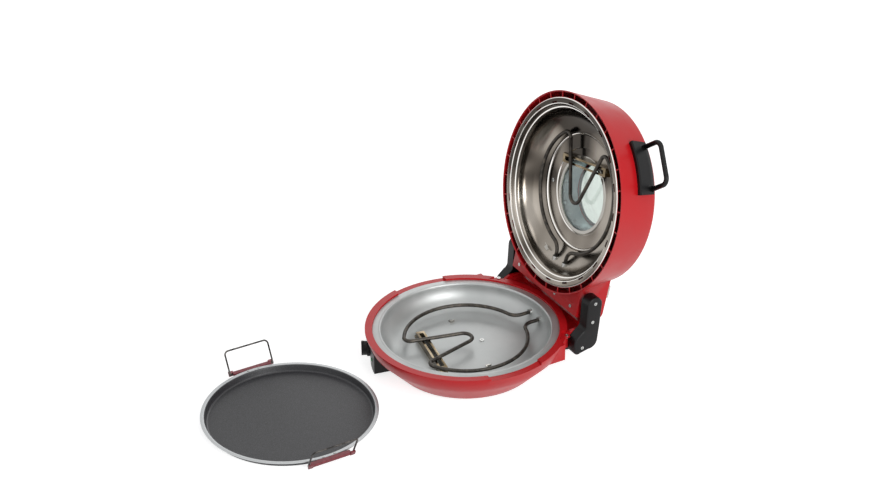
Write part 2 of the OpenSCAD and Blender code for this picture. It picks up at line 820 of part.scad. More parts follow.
module regulator() {
  color(ceramic) difference() {
    union() {
      rotate([0, 0, pod_turn]) {
        block([-15, regulator_y, dial_z - 11], [15, regulator_y + 22, dial_z + 2.6]);
        block([-12, regulator_y + 6, foot_h + sheet], [12, regulator_y + 18, dial_z - 10]);
      }
    }
    front_turn(0) translate([0, 0, -regulator_y - 12]) cylinder(r = shaft_r + pin_clear, h = 14);
  }
}

module dial_shaft() {
  color(silver) front_turn(0) translate([0, 0, -regulator_y - 11.5]) cylinder(r = shaft_r,
    h = pod_r + dial_t - 3 + regulator_y + 11.5);
}

dial_gap = 0.3;

module control_dial() {
  color(black) front_turn(0) translate([0, 0, pod_r + dial_gap]) difference() {
    union() {
      cylinder(r = dial_r, h = dial_t * 0.4);
      cylinder(r = dial_r - 2, h = dial_t);
      block([-2.5, -dial_r + 1, dial_t - 1], [2.5, dial_r - 1, dial_t + 3]);
    }
    for (a = [0:15:345]) rotate([0, 0, a]) translate([dial_r, 0, -1]) cylinder(r = 0.9, h = dial_t);
    translate([0, 0, -1]) cylinder(r = shaft_r, h = dial_t - 3 - dial_gap + 1);
  }
}

// Hinge and arms

arm_in = block_x + arm_gap;
arm_out = arm_in + arm_w;

// The arm's outline in Y and in height above the table, each edge drawn in by d. Its points
// are given from the hinge pin's axis, in hundredths of the arm's height.
function arm_line(d) = let(u = arm_h / 100, y = pivot_y, z = pivot_z) concat(
  arc([y + 2.73 * u, z + 21.92 * u], 15.15 * u - d, -5, 176, 16),
  arc([y - 25.35 * u, z - 14.95 * u], 10.61 * u + d, -5, -70, 6),
  arc([y - 22.32 * u, z - 46.26 * u], 15.66 * u - d, 125, 185, 6),
  arc([y - 28.89 * u, z - 58.89 * u], 8.59 * u - d, 185, 300, 8),
  arc([y - 6.16 * u, z - 46.26 * u], 16.67 * u - d, 262, 355, 8), [[y + 13.94 * u - d, z - 19.8 * u]]);

function on_arm(y, z) = [pivot_y + y * arm_h / 100, pivot_z + z * arm_h / 100];
arm_bosses = [on_arm(3.84, 24.95), on_arm(-0.91, -10.3), on_arm(-20.91, -55.96)];
plate_bolts = [on_arm(-25.86, -41.21), on_arm(-7.68, -45.25)];
bolt_r = 2;
recess_h = 2;

module arm_cover() {
  color(black) difference() {
    union() {
      difference() {
        along_x(arm_in, arm_out) polygon(arm_line(0));
        along_x(arm_in - 1, arm_out - cover_wall) polygon(arm_line(cover_wall));
      }
      for (p = arm_bosses) translate([arm_in + plate_t, p[0], p[1]]) rotate([0, 90, 0])
        cylinder(r = 4, h = arm_w - plate_t - 1);
    }
    for (p = arm_bosses) translate([0, p[0], p[1]]) rotate([0, 90, 0]) {
      cylinder(r = screw_r, h = arm_out + 1);
      translate([0, 0, arm_out - recess_h]) cylinder(r = head_r + 0.2, h = recess_h + 1);
    }
  }
}

module arm_cover_right() { arm_cover(); }

module arm_cover_left() { mirror([1, 0, 0]) arm_cover(); }

module arm_screws() {
  color(silver) both_sides() for (p = arm_bosses) translate([arm_out - recess_h, p[0], p[1]])
    rotate([0, 90, 0]) screw(screw_r, head_r, head_h, arm_w - recess_h - 0.5);
}

plate_in = cover_wall + 0.5;

module hinge_plate() {
  color(silver) difference() {
    along_x(arm_in, arm_in + plate_t) polygon(arm_line(plate_in));
    translate([0, pivot_y, pivot_z]) rotate([0, 90, 0]) cylinder(r = pin_r, h = arm_out);
    for (p = plate_bolts) translate([0, p[0], p[1]]) rotate([0, 90, 0]) cylinder(r = bolt_r, h = arm_out);
    for (p = arm_bosses) translate([0, p[0], p[1]]) rotate([0, 90, 0]) cylinder(r = screw_r, h = arm_out);
  }
}

module hinge_plate_right() { hinge_plate(); }

module hinge_plate_left() { mirror([1, 0, 0]) hinge_plate(); }

module hinge_plate_bolts() {
  color(silver) both_sides() for (p = plate_bolts) translate([arm_in + plate_t, p[0], p[1]])
    rotate([0, 90, 0]) screw(bolt_r, bolt_r + 1.8, 2, plate_t + arm_gap + sheet + 4);
}

box_in = box_x - sheet;
pin_reach = 11.5;
pin_l = arm_in + plate_t - box_in + pin_reach;
pin_head_h = 3;

module hinge_pins() {
  color(silver) both_sides() translate([arm_in + plate_t - pin_l, pivot_y, pivot_z]) rotate([0, 90, 0]) {
    cylinder(r = pin_r, h = pin_l);
    translate([0, 0, pin_l]) cylinder(r = pin_r + 1.5, h = pin_head_h);
  }
}

module lid_hinge_bushes() {
  color(brass) in_lid() both_sides() translate([box_in, pivot_y, pivot_s]) rotate([0, -90, 0])
    difference() {
      union() {
        cylinder(r = pin_r + 8, h = 3);
        cylinder(r = pin_r + 4, h = 13);
      }
      translate([0, 0, -1]) cylinder(r = pin_r + pin_clear, h = 15);
    }
}

module ledge_screws() {
  color(silver) both_sides() translate([ledge_screw_x, ledge_screw_y, rim_z])
    screw(screw_r, head_r + 0.4, head_h, 5);
}

stop_y = [block_y - 8, block_y - 2];
seat_gap = 0.3;
end_lean = 11;
end_round = [box_y - box_round, box_high - box_round];
end_foot = end_round[0] + box_round / cos(end_lean) - (end_round[1] - box_low) * tan(end_lean);
end_low = opened(end_foot, box_low);
end_high = opened(end_round[0] + box_round * cos(end_lean), end_round[1] - box_round * sin(end_lean));

// Height of the open lid's end face over the deck at y
function end_face(y) = let(d = end_high - end_low) end_low[1] + d[1] * (y - end_low[0]) / d[0];

module lid_stops() {
  color(rubber) both_sides() along_x(62, 80) polygon([[stop_y[0], rim_z], [stop_y[1], rim_z],
    [stop_y[1], end_face(stop_y[1]) - seat_gap], [stop_y[0], end_face(stop_y[0]) - seat_gap]]);
}

// Lid, drawn closed in its own frame

round_c = [lid_side(lid_h - lid_round) - lid_round / cos(taper_a), lid_h - lid_round];

// Outline of the drum from its rim to its axis, drawn in by t
module drum_form(t, s0) {
  rotate_extrude() polygon(concat([[0, s0], [lid_side(s0) - t / cos(taper_a), s0]],
    arc(round_c, lid_round - t, taper_a, 90, 8), [[0, lid_h - t]]));
}

// Side view of the hinge box, drawn in by t: its end face leans out to the rounding
module box_form(t) {
  along_x(-box_x + t, box_x - t) polygon(concat(
    [[60, box_low + t], [end_foot - (t - t * sin(end_lean)) / cos(end_lean), box_low + t]],
    arc(end_round, box_round - t, -end_lean, 90, 6), [[60, box_high - t]]));
}

flange_r = lid_liner_r - 6;

module lid_shell() {
  color(red) in_lid() difference() {
    union() {
      drum_form(0, 0);
      box_form(0);
    }
    drum_form(sheet, flange_s + sheet);
    box_form(sheet);
    translate([0, 0, -1]) cylinder(r = lid_r - sheet, h = flange_s + 1);
    cylinder(r = flange_r, h = lid_h / 2);
    for (i = [0:rim_slots - 1]) rotate([0, 0, i * 360 / rim_slots])
      rotate_extrude(angle = 360 / rim_slots - slot_web) translate([lid_liner_r + 0.8, 0])
        square([lid_r - lid_liner_r - 3, flange_s + sheet + 0.5]);
    translate([0, window_shift, lid_h / 2]) cylinder(r = porthole_r, h = lid_h);
    both_sides() translate([box_in - 1, pivot_y, pivot_s]) rotate([0, 90, 0])
      cylinder(r = pin_r + 0.3, h = 4);
    rotate([0, 0, -handle_angle]) for (a = pad_screws) pad_screw_at(a) translate([0, 0, -sheet - 1])
      cylinder(r = screw_r, h = sheet + 2);
    for (p = panel_screw_at) translate([p[0], pivot_y, box_low - 1]) cylinder(r = screw_r, h = sheet + 2);
    both_sides() translate([box_in - 1, side_screw_at[0], side_screw_at[1]]) rotate([0, 90, 0])
      cylinder(r = screw_r, h = 4);
  }
}

floor_step = 2;
window_s = dish_depth + floor_step;

dish_line = concat(
  [[0, window_s], [window_r + window_shift + 0.5, window_s], [window_r + window_shift + 2, dish_depth],
   [ridge_r - 2.5, dish_depth]],
  arc_xy([ridge_r, 12], dish_r - 2.5 - ridge_r, dish_depth - 14, 90, 0, 14),
  [[dish_r, 10], [dish_r + 1.5, 9], [lid_step_r - 1, 3.5], [lid_step_r, 2.2],
   [lid_liner_r - 9, flange_s - liner_t], [lid_liner_r, flange_s - liner_t]]);

upper_bush_y = dish_r - 17;
floor_screw = [16.5 - ridge_r, 14];
vents = 20;

module lid_liner() {
  color(bright) in_lid() difference() {
    turned_sheet(dish_line, liner_t);
    translate([0, window_shift, 0]) cylinder(r = window_r - 3, h = lid_h);
    for (i = [0:vents - 1]) rotate([0, 0, 360 * (i + 0.4) / vents]) rotate_extrude(angle = 5)
      translate([lid_step_r + 1.1, flange_s - liner_t - 1]) square([3.2, 3]);
    both_sides() translate([terminal_x, ridge_r, upper_depth]) rotate([-90, 0, 0])
      cylinder(r = bush_r, h = lid_liner_r);
    upper_bar_at() for (x = [-bar_screw_x, bar_screw_x]) translate([x, 0, dish_depth - 2])
      cylinder(r = screw_r, h = 9);
    translate([floor_screw[0], floor_screw[1], 0]) cylinder(r = screw_r, h = lid_h);
  }
}

module liner_screws() {
  color(silver) in_lid() translate([floor_screw[0], floor_screw[1], dish_depth]) mirror([0, 0, 1])
    screw(screw_r, head_r + 0.5, head_h, 8);
}

// A small angle on the dish's sloping wall that keeps the heater's leads clear
clip_angle = 109;
clip_r = dish_r - 12;
clip_share = (clip_r - ridge_r) / (dish_r - 2.5 - ridge_r);
clip_s = 12 + (dish_depth - 14) * sqrt(1 - pow(clip_share, 2));

module liner_clip() {
  color(silver) in_lid() rotate([0, 0, clip_angle]) translate([clip_r, 0, clip_s]) rotate([0, -135, 0])
    translate([0, 0, 0.35]) {
      block([-3, -5, 0], [3, 5, 1]);
      block([2, -5, 0], [3, 5, 9]);
    }
}

module upper_element() {
  color(heater) in_lid() translate([0, 0, upper_depth])
    heater_form(upper_tip_y, upper_lean, upper_bush_y + 14);
}

module upper_bushes() {
  color(silver) in_lid() translate([0, 0, upper_depth]) collars(upper_bush_y, upper_bush_y + 9);
}

module upper_bar_at() {
  translate([0, -upper_bar_y, 0]) rotate([0, 0, -bar_skew]) children();
}

module upper_support_bar() {
  color(bronze) in_lid() translate([0, 0, dish_depth]) upper_bar_at() mirror([0, 0, 1])
    bar_form(dish_depth - upper_depth - tube_r);
}

module upper_bar_screws() {
  color(silver) in_lid() translate([0, 0, dish_depth]) upper_bar_at() mirror([0, 0, 1]) bar_screws_form();
}

// Window, centred a little towards the hinge
glass_seat_r = window_r - 4;
ring_in_r = window_r - 6;
glass_in_s = window_s + liner_t;
glass_out_s = lid_h - sheet - glass_t;

module at_window() {
  in_lid() translate([0, window_shift, 0]) children();
}

module window_ring() {
  color(bright) at_window() rotate_extrude() polygon([[ring_in_r, window_s - 1.5],
    [window_r - 1, window_s - 1.5], [window_r, window_s - 0.8], [window_r, window_s],
    [glass_seat_r + 0.8, window_s],
    [glass_seat_r + 0.8, glass_in_s], [ring_in_r, glass_in_s]]);
}

module inner_glass() {
  color(clear) at_window() translate([0, 0, glass_in_s]) cylinder(r = glass_seat_r, h = glass_t);
}

module outer_glass() {
  color(clear) at_window() translate([0, 0, glass_out_s]) cylinder(r = porthole_r + 4, h = glass_t);
}

// The tunnel's wall narrows from behind the inner glass to the porthole
tunnel_in = [glass_seat_r - 2, glass_in_s + glass_t];
tunnel_out = [porthole_r + 1, glass_out_s - 0.4];
tunnel_lean = atan2(tunnel_in[0] - tunnel_out[0], tunnel_out[1] - tunnel_in[1]);
tunnel_l = tunnel_out[1] - tunnel_in[1];

module window_tunnel() {
  color("#6D8087") at_window() {
    turned_sheet([[glass_seat_r + 1, glass_in_s], [glass_seat_r + 1, glass_in_s + glass_t],
      tunnel_in, tunnel_out], -1);
    for (i = [0:tunnel_tabs - 1]) rotate([0, 0, i * 360 / tunnel_tabs])
      translate([tunnel_in[0], 0, tunnel_in[1]]) rotate([0, -tunnel_lean, 0])
        block([-0.8, -2.2, tunnel_l * 0.17], [0.5, 2.2, tunnel_l * 0.31]);
  }
}

module outer_bezel() {
  color(black) at_window() translate([0, 0, lid_h]) rotate_extrude() polygon([[porthole_r - 3, -sheet],
    [porthole_r, -sheet], [porthole_r, 0], [porthole_r + 7, 0], [porthole_r + 6, 1.6], [porthole_r - 2, 2.4],
    [porthole_r - 3, 1.4]]);
}

module lid_wires() {
  lead_s = upper_depth + 6;
  start = upper_bush_y + 20.7;
  color("#D9D2C4") in_lid() {
    lead([[terminal_x, start, upper_depth], [terminal_x + 8, start + 12, lead_s],
      [70, start + 20, lead_s], [box_in - 15, pivot_y - 2, pivot_s + 9]]);
    lead([[-terminal_x, start, upper_depth], [-terminal_x - 8, start + 12, lead_s],
      [-70, start + 20, lead_s], [-box_in + 15, pivot_y - 2, pivot_s + 9]]);
  }
}

// Handle
pad_high = pad_low + pad_w;
bow_s = pad_high - 6;
bow_r = bow_d / 2;
bow_start = sqrt(pow(lid_side(bow_s - bow_r), 2) - pow(bow_half - bow_r, 2)) + 0.3;
bow_end = lid_side(bow_s) + bow_reach;
pad_screws = [-9, 9];
pad_screw_s = pad_low + 12;

module at_handle() {
  in_lid() rotate([0, 0, -handle_angle]) children();
}

module bow_form() {
  translate([0, 0, bow_s]) for (side = [0, 1]) mirror([0, side, 0]) {
    run([bow_start, bow_half], [bow_end - bow_bend, bow_half], bow_r, 0, run_into);
    bend([bow_end - bow_bend, bow_half - bow_bend], bow_bend, 0, 90, bow_r + bend_more);
    run([bow_end, -1], [bow_end, bow_half - bow_bend], bow_r, 0, run_into);
  }
}

module pad_screw_at(a) {
  rotate([0, 0, a]) translate([lid_side(pad_screw_s), 0, pad_screw_s]) rotate([0, 90 - taper_a, 0])
    children();
}

module handle_mount() {
  color(black) at_handle() difference() {
    rotate([0, 0, -pad_half]) rotate_extrude(angle = 2 * pad_half) polygon([[lid_side(pad_low), pad_low],
      [lid_side(pad_low) + pad_t - 2, pad_low], [lid_side(pad_low) + pad_t, pad_low + 2],
      [lid_side(pad_high) + pad_t, pad_high - 2], [lid_side(pad_high) + pad_t - 2, pad_high],
      [lid_side(pad_high), pad_high]]);
    bow_form();
    for (a = pad_screws) pad_screw_at(a) translate([0, 0, -1]) cylinder(r = screw_r, h = pad_t);
  }
}

module handle_bow() {
  color(black) at_handle() bow_form();
}

module handle_screws() {
  color(silver) at_handle() for (a = pad_screws) pad_screw_at(a) translate([0, 0, -sheet - 0.05])
    mirror([0, 0, 1]) screw(screw_r, head_r, head_h, sheet + pad_t - 1.5);
}

module lid_rear_pads() {
  color(pale) in_lid() both_sides()
    block([box_x - 11, box_y - 62, box_high], [box_x - 2, box_y - 40, box_high + 5]);
}

panel_screw_at = [[box_x - 20.3, 0], [20.3 - box_x, 0], [33.4, 0]];
side_screw_at = [pivot_y - 27.6, pivot_s - 3.5];
side_head_h = 0.9;

module panel_screws() {
  color(silver) in_lid() {
    for (p = panel_screw_at) translate([p[0], pivot_y, box_low]) mirror([0, 0, 1])
      screw(screw_r, head_r, head_h, 6);
    both_sides() translate([box_x, side_screw_at[0], side_screw_at[1]]) rotate([0, 90, 0])
      screw(screw_r, head_r, side_head_h, 5);
  }
}

// Baking tray, lifted out and laid on the table in front
tray_wall_r = tray_r - tray_rim;
ear_gap = 0.3;
ear_x = tray_r + ear_gap;
bail_x = ear_x + ear_w / 2;
bail_z = tray_h - ear_t / 2;
wire_rad = wire_d / 2;
bail_pin_r = wire_rad - 0.1;
bail_pin_l = bail_w / 2 - ear_l / 2 + 5;
bail_bend = 7;
rivet_r = 1;
rivet_y = 10;
rivet_x = tray_r - 3;

module at_tray() {
  translate([0, -tray_y, 0]) children();
}

module baking_tray() {
  color("#3A3A3C") at_tray() difference() {
    turned_sheet([[0, 0], [tray_wall_r - 5, 0], [tray_wall_r - 3, 1.5], [tray_wall_r, tray_h - tray_t],
      [tray_r, tray_h - tray_t]], tray_t);
    rivet_holes();
  }
}

module rivet_holes() {
  both_sides() for (y = [-rivet_y, rivet_y]) translate([rivet_x, y, -1])
    cylinder(r = rivet_r, h = tray_h + 2);
}

// Puts what is drawn upright at the right ear's pivot, leaning as the bail leans
module at_bail() {
  translate([bail_x, -tray_y, bail_z]) rotate([0, bail_lean, 0]) children();
}

module tray_ears() {
  lug_t = 3;
  tongue_t = 2;
  color(ear_red) difference() {
    union() {
      at_tray() both_sides() {
        block([ear_x, -ear_l / 2, tray_h - ear_t], [ear_x + ear_w, ear_l / 2, tray_h]);
        block([tray_wall_r, -ear_l / 3, tray_h - tray_t - tongue_t],
          [ear_x + 1, ear_l / 3, tray_h - tray_t]);
      }
      both_sides() at_bail() for (side = [0, 1]) mirror([0, side, 0])
        block([wire_rad + 0.1, ear_l / 2 - 2, -3], [wire_rad + 0.1 + lug_t, bail_w / 2 + wire_rad, 6]);
    }
    at_tray() {
      rivet_holes();
      translate([0, 0, -1]) cylinder(r = tray_wall_r + ear_gap, h = tray_h);
    }
    both_sides() at_bail() rotate([90, 0, 0]) for (side = [0, 1]) mirror([0, 0, side])
      translate([0, 0, ear_l / 2 - 6]) cylinder(r = bail_pin_r + pin_clear, h = bail_w);
  }
}

module tray_rivets() {
  color(silver) at_tray() both_sides() for (y = [-rivet_y, rivet_y])
    translate([rivet_x, y, tray_h - tray_t - 2.8]) {
      cylinder(r = rivet_r, h = 2.8 + tray_t);
      cylinder(r = rivet_r + 0.8, h = 0.8);
      translate([0, 0, tray_t + 2.8]) cylinder(r = rivet_r + 0.8, h = 0.8);
    }
}

module bail_form() {
  half = bail_w / 2;
  at_bail() rotate([90, 0, 90]) {
    both_sides() {
      translate([half, 0, 0]) sphere(r = wire_rad + 0.04);
      run([half - bail_pin_l, 0], [half, 0], bail_pin_r);
      run([half, 0], [half, bail_l - bail_bend], wire_rad, 0, run_into);
      bend([half - bail_bend, bail_l - bail_bend], bail_bend, 0, 90, wire_rad + bend_more);
      run([-1, bail_l], [half - bail_bend, bail_l], wire_rad, 0, run_into);
    }
  }
}

module bail_right() {
  color("#4A4A4C") bail_form();
}

module bail_left() {
  color("#4A4A4C") mirror([1, 0, 0]) bail_form();
}

base_shell();
bottom_plate();
bottom_screws();
rubber_feet();
rear_stand();
rear_feet();
base_liner();
liner_floor_screw();
lower_element();
lower_bushes();
lower_clips();
lower_support_bar();
lower_bar_screws();
terminal_block();
thermostat();
thermal_fuse();
base_wires();
power_inlet();
inlet_pins();
control_housing();
regulator();
lamp_red();
lamp_green();
ledge_screws();
lid_stops();
hinge_plate_left();
hinge_plate_right();
hinge_plate_bolts();
hinge_pins();
arm_cover_left();
arm_cover_right();
arm_screws();
lid_shell();
lid_liner();
liner_screws();
liner_clip();
upper_element();
upper_bushes();
upper_support_bar();
upper_bar_screws();
window_ring();
inner_glass();
window_tunnel();
outer_glass();
outer_bezel();
lid_hinge_bushes();
lid_wires();
handle_mount();
handle_bow();
handle_screws();
lid_rear_pads();
panel_screws();
control_dial();
dial_shaft();
baking_tray();
tray_ears();
tray_rivets();
bail_left();
bail_right();
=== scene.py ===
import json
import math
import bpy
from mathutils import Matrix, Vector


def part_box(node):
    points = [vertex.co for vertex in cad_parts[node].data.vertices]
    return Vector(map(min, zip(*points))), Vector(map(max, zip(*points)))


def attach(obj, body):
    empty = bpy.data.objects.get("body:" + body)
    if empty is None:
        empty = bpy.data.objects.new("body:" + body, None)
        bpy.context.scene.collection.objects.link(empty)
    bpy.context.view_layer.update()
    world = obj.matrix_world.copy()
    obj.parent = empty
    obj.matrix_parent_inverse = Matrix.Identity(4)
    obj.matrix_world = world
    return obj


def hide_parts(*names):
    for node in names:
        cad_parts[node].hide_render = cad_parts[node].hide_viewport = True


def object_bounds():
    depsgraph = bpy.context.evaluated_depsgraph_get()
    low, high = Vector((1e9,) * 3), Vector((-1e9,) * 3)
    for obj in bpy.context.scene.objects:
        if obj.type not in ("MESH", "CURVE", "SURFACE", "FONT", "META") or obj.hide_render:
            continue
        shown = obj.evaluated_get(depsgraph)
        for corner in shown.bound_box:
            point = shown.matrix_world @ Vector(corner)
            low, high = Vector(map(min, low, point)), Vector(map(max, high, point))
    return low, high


bl_info = {
    "name": "Countertop pizza maker",
    "version": (1, 0, 0),
    "blender": (4, 5, 0),
    "location": "3D View > Sidebar > Pizza maker",
    "description": "Dresses the packed pizza maker in its metals, enamel, glass and plastic",
    "category": "Object",
}

import bmesh
import bpy
from bpy.props import FloatProperty, IntProperty, PointerProperty, StringProperty
from mathutils import Matrix, Vector

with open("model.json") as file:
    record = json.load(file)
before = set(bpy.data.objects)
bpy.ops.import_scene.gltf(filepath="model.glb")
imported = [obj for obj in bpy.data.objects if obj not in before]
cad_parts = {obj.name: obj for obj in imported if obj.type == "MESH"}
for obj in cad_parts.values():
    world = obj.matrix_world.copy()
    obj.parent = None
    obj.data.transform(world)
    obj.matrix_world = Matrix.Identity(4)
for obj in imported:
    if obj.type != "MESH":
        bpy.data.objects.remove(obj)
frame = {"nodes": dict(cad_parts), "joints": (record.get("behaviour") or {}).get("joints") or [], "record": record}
NODES = frame["nodes"]
CAD_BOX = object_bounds()
MM = 0.001

# The material slot and the body of each CAD node
SLOTS = {part["node"]: part["material_slot"] for part in frame["record"]["subparts"]}
BODIES = {node: body for body, nodes in frame["record"]["behaviour"]["bodies"].items()
          for node in nodes}


def joint_named(name):
    """The frame's entry for a joint."""
    return next(joint for joint in frame["joints"] if joint["name"] == name)


# Where the lid's hinge pins run, how far the lid stands open, and its underside's height closed
PIVOT = Vector(joint_named("lid_hinge")["pos_m"])
OPEN_ANGLE = math.radians(joint_named("lid_hinge")["range_deg"][1])
LID_LOW = 73.3 * MM
TRAY_MIDDLE_Y = joint_named("bail_right_hinge")["pos_m"][1]

# Corners closer than this, in metres, are one corner, and a radius this small, in millimetres,
# is on the axis
SPLIT_GAP = 2e-6
ON_AXIS = 1e-6
# Faces that meet at less than the first are flat, and lines at less than the second are
# straight, in radians
FLAT_ANGLE = 1e-4
STRAIGHT = 1e-3
# How far a thickened line's corner may reach out, as the cosine of half its turn
MITRE = 0.3
# In degrees, the turn above which an edge stays sharp: on machined and cast parts, on moulded
# ones and the tray, and on spun liners
MACHINED, MOULDED, SPUN = 32, 40, 50

# The shader that a new material has, and the places of a Mix node's colour sockets, which share
# their names with its number sockets
SHADER = "Principled BSDF"
MIX_A, MIX_B, MIX_OUT = 6, 7, 2


def chosen(group):
    """The user's values of one group of settings, such as the liner's."""
    return getattr(bpy.context.scene, "pizza_" + group)


# Settings that a user would change


class StageSettings(bpy.types.PropertyGroup):
    azimuth: FloatProperty(name="Azimuth", description="Camera's turn round the cooker",
                           default=math.radians(59.9), subtype="ANGLE")
    elevation: FloatProperty(name="Elevation", description="Camera's height angle",
                             default=math.radians(30.84), subtype="ANGLE")
    roll: FloatProperty(name="Roll", description="Camera's roll", default=math.radians(-0.24),
                        subtype="ANGLE")
    distance: FloatProperty(name="Distance", description="Camera to target", default=3.082,
                            unit="LENGTH")
    target_height: FloatProperty(name="Target height",
                                 description="Height that the camera looks at", default=0.13,
                                 unit="LENGTH")
    lens: FloatProperty(name="Lens", description="Focal length in millimetres", default=74.85,
                        unit="CAMERA")
    shift_x: FloatProperty(name="Shift X", description="Sideways lens shift", default=-0.0354)
    shift_y: FloatProperty(name="Shift Y", description="Upward lens shift", default=0.0601)
    floor_size: FloatProperty(name="Floor size", description="Side of the floor", default=14.0,
                              unit="LENGTH")
    floor_glow: FloatProperty(name="Floor glow",
                              description="Whiteness added to the floor that is seen, not to the "
                                          "light it gives", default=0.77)


class FinishSettings(bpy.types.PropertyGroup):
    enamel: StringProperty(name="Enamel", description="Red of the shells, sRGB hex",
                           default="#C0141B")
    ear_enamel: StringProperty(name="Ear enamel", description="Red of the tray's ears, sRGB hex",
                               default="#6C1C27")
    plastic: StringProperty(name="Plastic", description="Black of the arms and handle, sRGB hex",
                            default="#0B0B0C")
    liner: StringProperty(name="Base liner", description="Grey of the base liner, sRGB hex",
                          default="#BEC0BF")
    lid_liner: StringProperty(name="Lid liner",
                              description="Bright metal of the lid liner, sRGB hex",
                              default="#8D867D")
    heater: StringProperty(name="Heater tube", description="Grey of the heater tubes, sRGB hex",
                           default="#4A4641")


class LinerSettings(bpy.types.PropertyGroup):
    turns: IntProperty(name="Turns", description="Faces round a spun sheet", default=192)
    sheet: FloatProperty(name="Sheet", description="Thickness of the liners", default=0.8 * MM,
                         unit="LENGTH")
    base_floor: FloatProperty(name="Base floor", description="Height of the base liner's floor",
                              default=32 * MM, unit="LENGTH")
    base_rim: FloatProperty(name="Base rim", description="Height of the cooking rim",
                            default=70 * MM, unit="LENGTH")
    base_flat: FloatProperty(name="Base flat", description="Radius of the base liner's flat floor",
                             default=110 * MM, unit="LENGTH")
    base_wall: FloatProperty(name="Base wall",
                             description="Radius of the base liner's wall at its top",
                             default=146 * MM, unit="LENGTH")
    base_edge: FloatProperty(name="Base edge", description="Radius of the base liner's flange",
                             default=161 * MM, unit="LENGTH")
    lid_edge: FloatProperty(name="Lid edge", description="Radius of the lid liner's rolled edge",
                            default=162 * MM, unit="LENGTH")
    lid_step: FloatProperty(name="Lid step", description="Radius of the step inside the flange",
                            default=151.5 * MM, unit="LENGTH")
    lid_dish: FloatProperty(name="Lid dish", description="Radius where the dish starts",
                            default=145 * MM, unit="LENGTH")
    lid_ridge: FloatProperty(name="Lid ridge",
                             description="Radius of the ridge round the dish's floor",
                             default=101.5 * MM, unit="LENGTH")
    lid_depth: FloatProperty(name="Lid depth", description="Depth of the dish", default=48 * MM,
                             unit="LENGTH")
    well: FloatProperty(name="Well", description="Radius of the step round the window",
                        default=74.5 * MM, unit="LENGTH")
    porthole: FloatProperty(name="Porthole",
                            description="Radius of the hole behind the window's ring",
                            default=65 * MM, unit="LENGTH")
    porthole_shift: FloatProperty(name="Porthole shift",
                                  description="How far the hole sits towards the hinge",
                                  default=6 * MM, unit="LENGTH")
    slots: IntProperty(name="Slots", description="Number of short slots in the lid liner's flange",
                       default=20)
    slot_angle: FloatProperty(name="Slot angle", description="Angle of one slot, in degrees",
                              default=5.0)


class ArmSettings(bpy.types.PropertyGroup):
    height: FloatProperty(name="Height", description="Height of an arm", default=99 * MM,
                          unit="LENGTH")
    rounding: FloatProperty(name="Rounding", description="Rounding of the outer edge",
                            default=3 * MM, unit="LENGTH")
    steps: IntProperty(name="Steps", description="Faces across the rounding", default=6)
    sink_radius: FloatProperty(name="Sink radius", description="Radius of a sunk screw hole",
                               default=3.6 * MM, unit="LENGTH")
    sink_depth: FloatProperty(name="Sink depth", description="Depth of a sunk screw hole",
                              default=2 * MM, unit="LENGTH")


class TraySettings(bpy.types.PropertyGroup):
    radius: FloatProperty(name="Radius", description="Radius of the tray's rim", default=148 * MM,
                          unit="LENGTH")
    rim: FloatProperty(name="Rim", description="Width of the tray's flat rim", default=6 * MM,
                       unit="LENGTH")
    height: FloatProperty(name="Height", description="Depth of the tray", default=13 * MM,
                          unit="LENGTH")
    sheet: FloatProperty(name="Sheet", description="Thickness of the tray's metal",
                         default=1.4 * MM, unit="LENGTH")


class MarkSettings(bpy.types.PropertyGroup):
    ticks: IntProperty(name="Ticks", description="Number of ticks round the dial", default=7)
    tick_width: FloatProperty(name="Tick width", description="Width of a tick", default=1.1 * MM,
                              unit="LENGTH")
    tick_length: FloatProperty(name="Tick length", description="Length of a tick",
                               default=2.6 * MM, unit="LENGTH")
    tick_radius: FloatProperty(name="Tick radius",
                               description="Distance of the ticks from the dial's axis",
                               default=16.8 * MM, unit="LENGTH")
    face: FloatProperty(name="Face",
                        description="Distance of the pod's face from the middle of the bowl",
                        default=166 * MM, unit="LENGTH")
    grip: FloatProperty(name="Grip",
                        description="Distance of the dial's grip from the middle of the bowl",
                        default=181.3 * MM, unit="LENGTH")
    pointer_length: FloatProperty(name="Pointer length",
                                  description="Length of the dial's pointer", default=5 * MM,
                                  unit="LENGTH")
    pointer_radius: FloatProperty(name="Pointer radius",
                                  description="Distance of the pointer from the dial's axis",
                                  default=9 * MM, unit="LENGTH")
    paint: FloatProperty(name="Paint", description="How far the paint stands off the plastic",
                         default=0.02 * MM, unit="LENGTH")


# Helpers for shapes


def lid_frame():
    """The matrix that takes the closed lid's own frame to where the open lid stands."""
    closed = Matrix.Translation((0, 0, LID_LOW))
    swing = Matrix.Rotation(-OPEN_ANGLE, 4, "X")
    return Matrix.Translation(PIVOT) @ swing @ Matrix.Translation(-PIVOT) @ closed


def link(name, mesh):
    """Puts a mesh into the scene as an object of its own."""
    piece = bpy.data.objects.new(name, mesh)
    bpy.context.scene.collection.objects.link(piece)
    return piece


def made_of(bm, name):
    """Makes an object of the bmesh, and frees the bmesh."""
    mesh = bpy.data.meshes.new(name)
    bm.to_mesh(mesh)
    bm.free()
    return link(name, mesh)


def baked(piece):
    """Applies the piece's modifiers to its mesh."""
    graph = bpy.context.evaluated_depsgraph_get()
    mesh = bpy.data.meshes.new_from_object(piece.evaluated_get(graph))
    piece.modifiers.clear()
    old = piece.data
    piece.data = mesh
    bpy.data.meshes.remove(old)
    return piece


def smooth(piece, angle):
    """Shades curved faces smoothly and keeps edges sharper than the angle."""
    piece.data.shade_smooth()
    piece.data.set_sharp_from_angle(angle=math.radians(angle))
    return piece


def placed(piece, matrix):
    """Moves the piece's mesh by the matrix, and leaves the object at the origin."""
    piece.data.transform(matrix)
    return piece


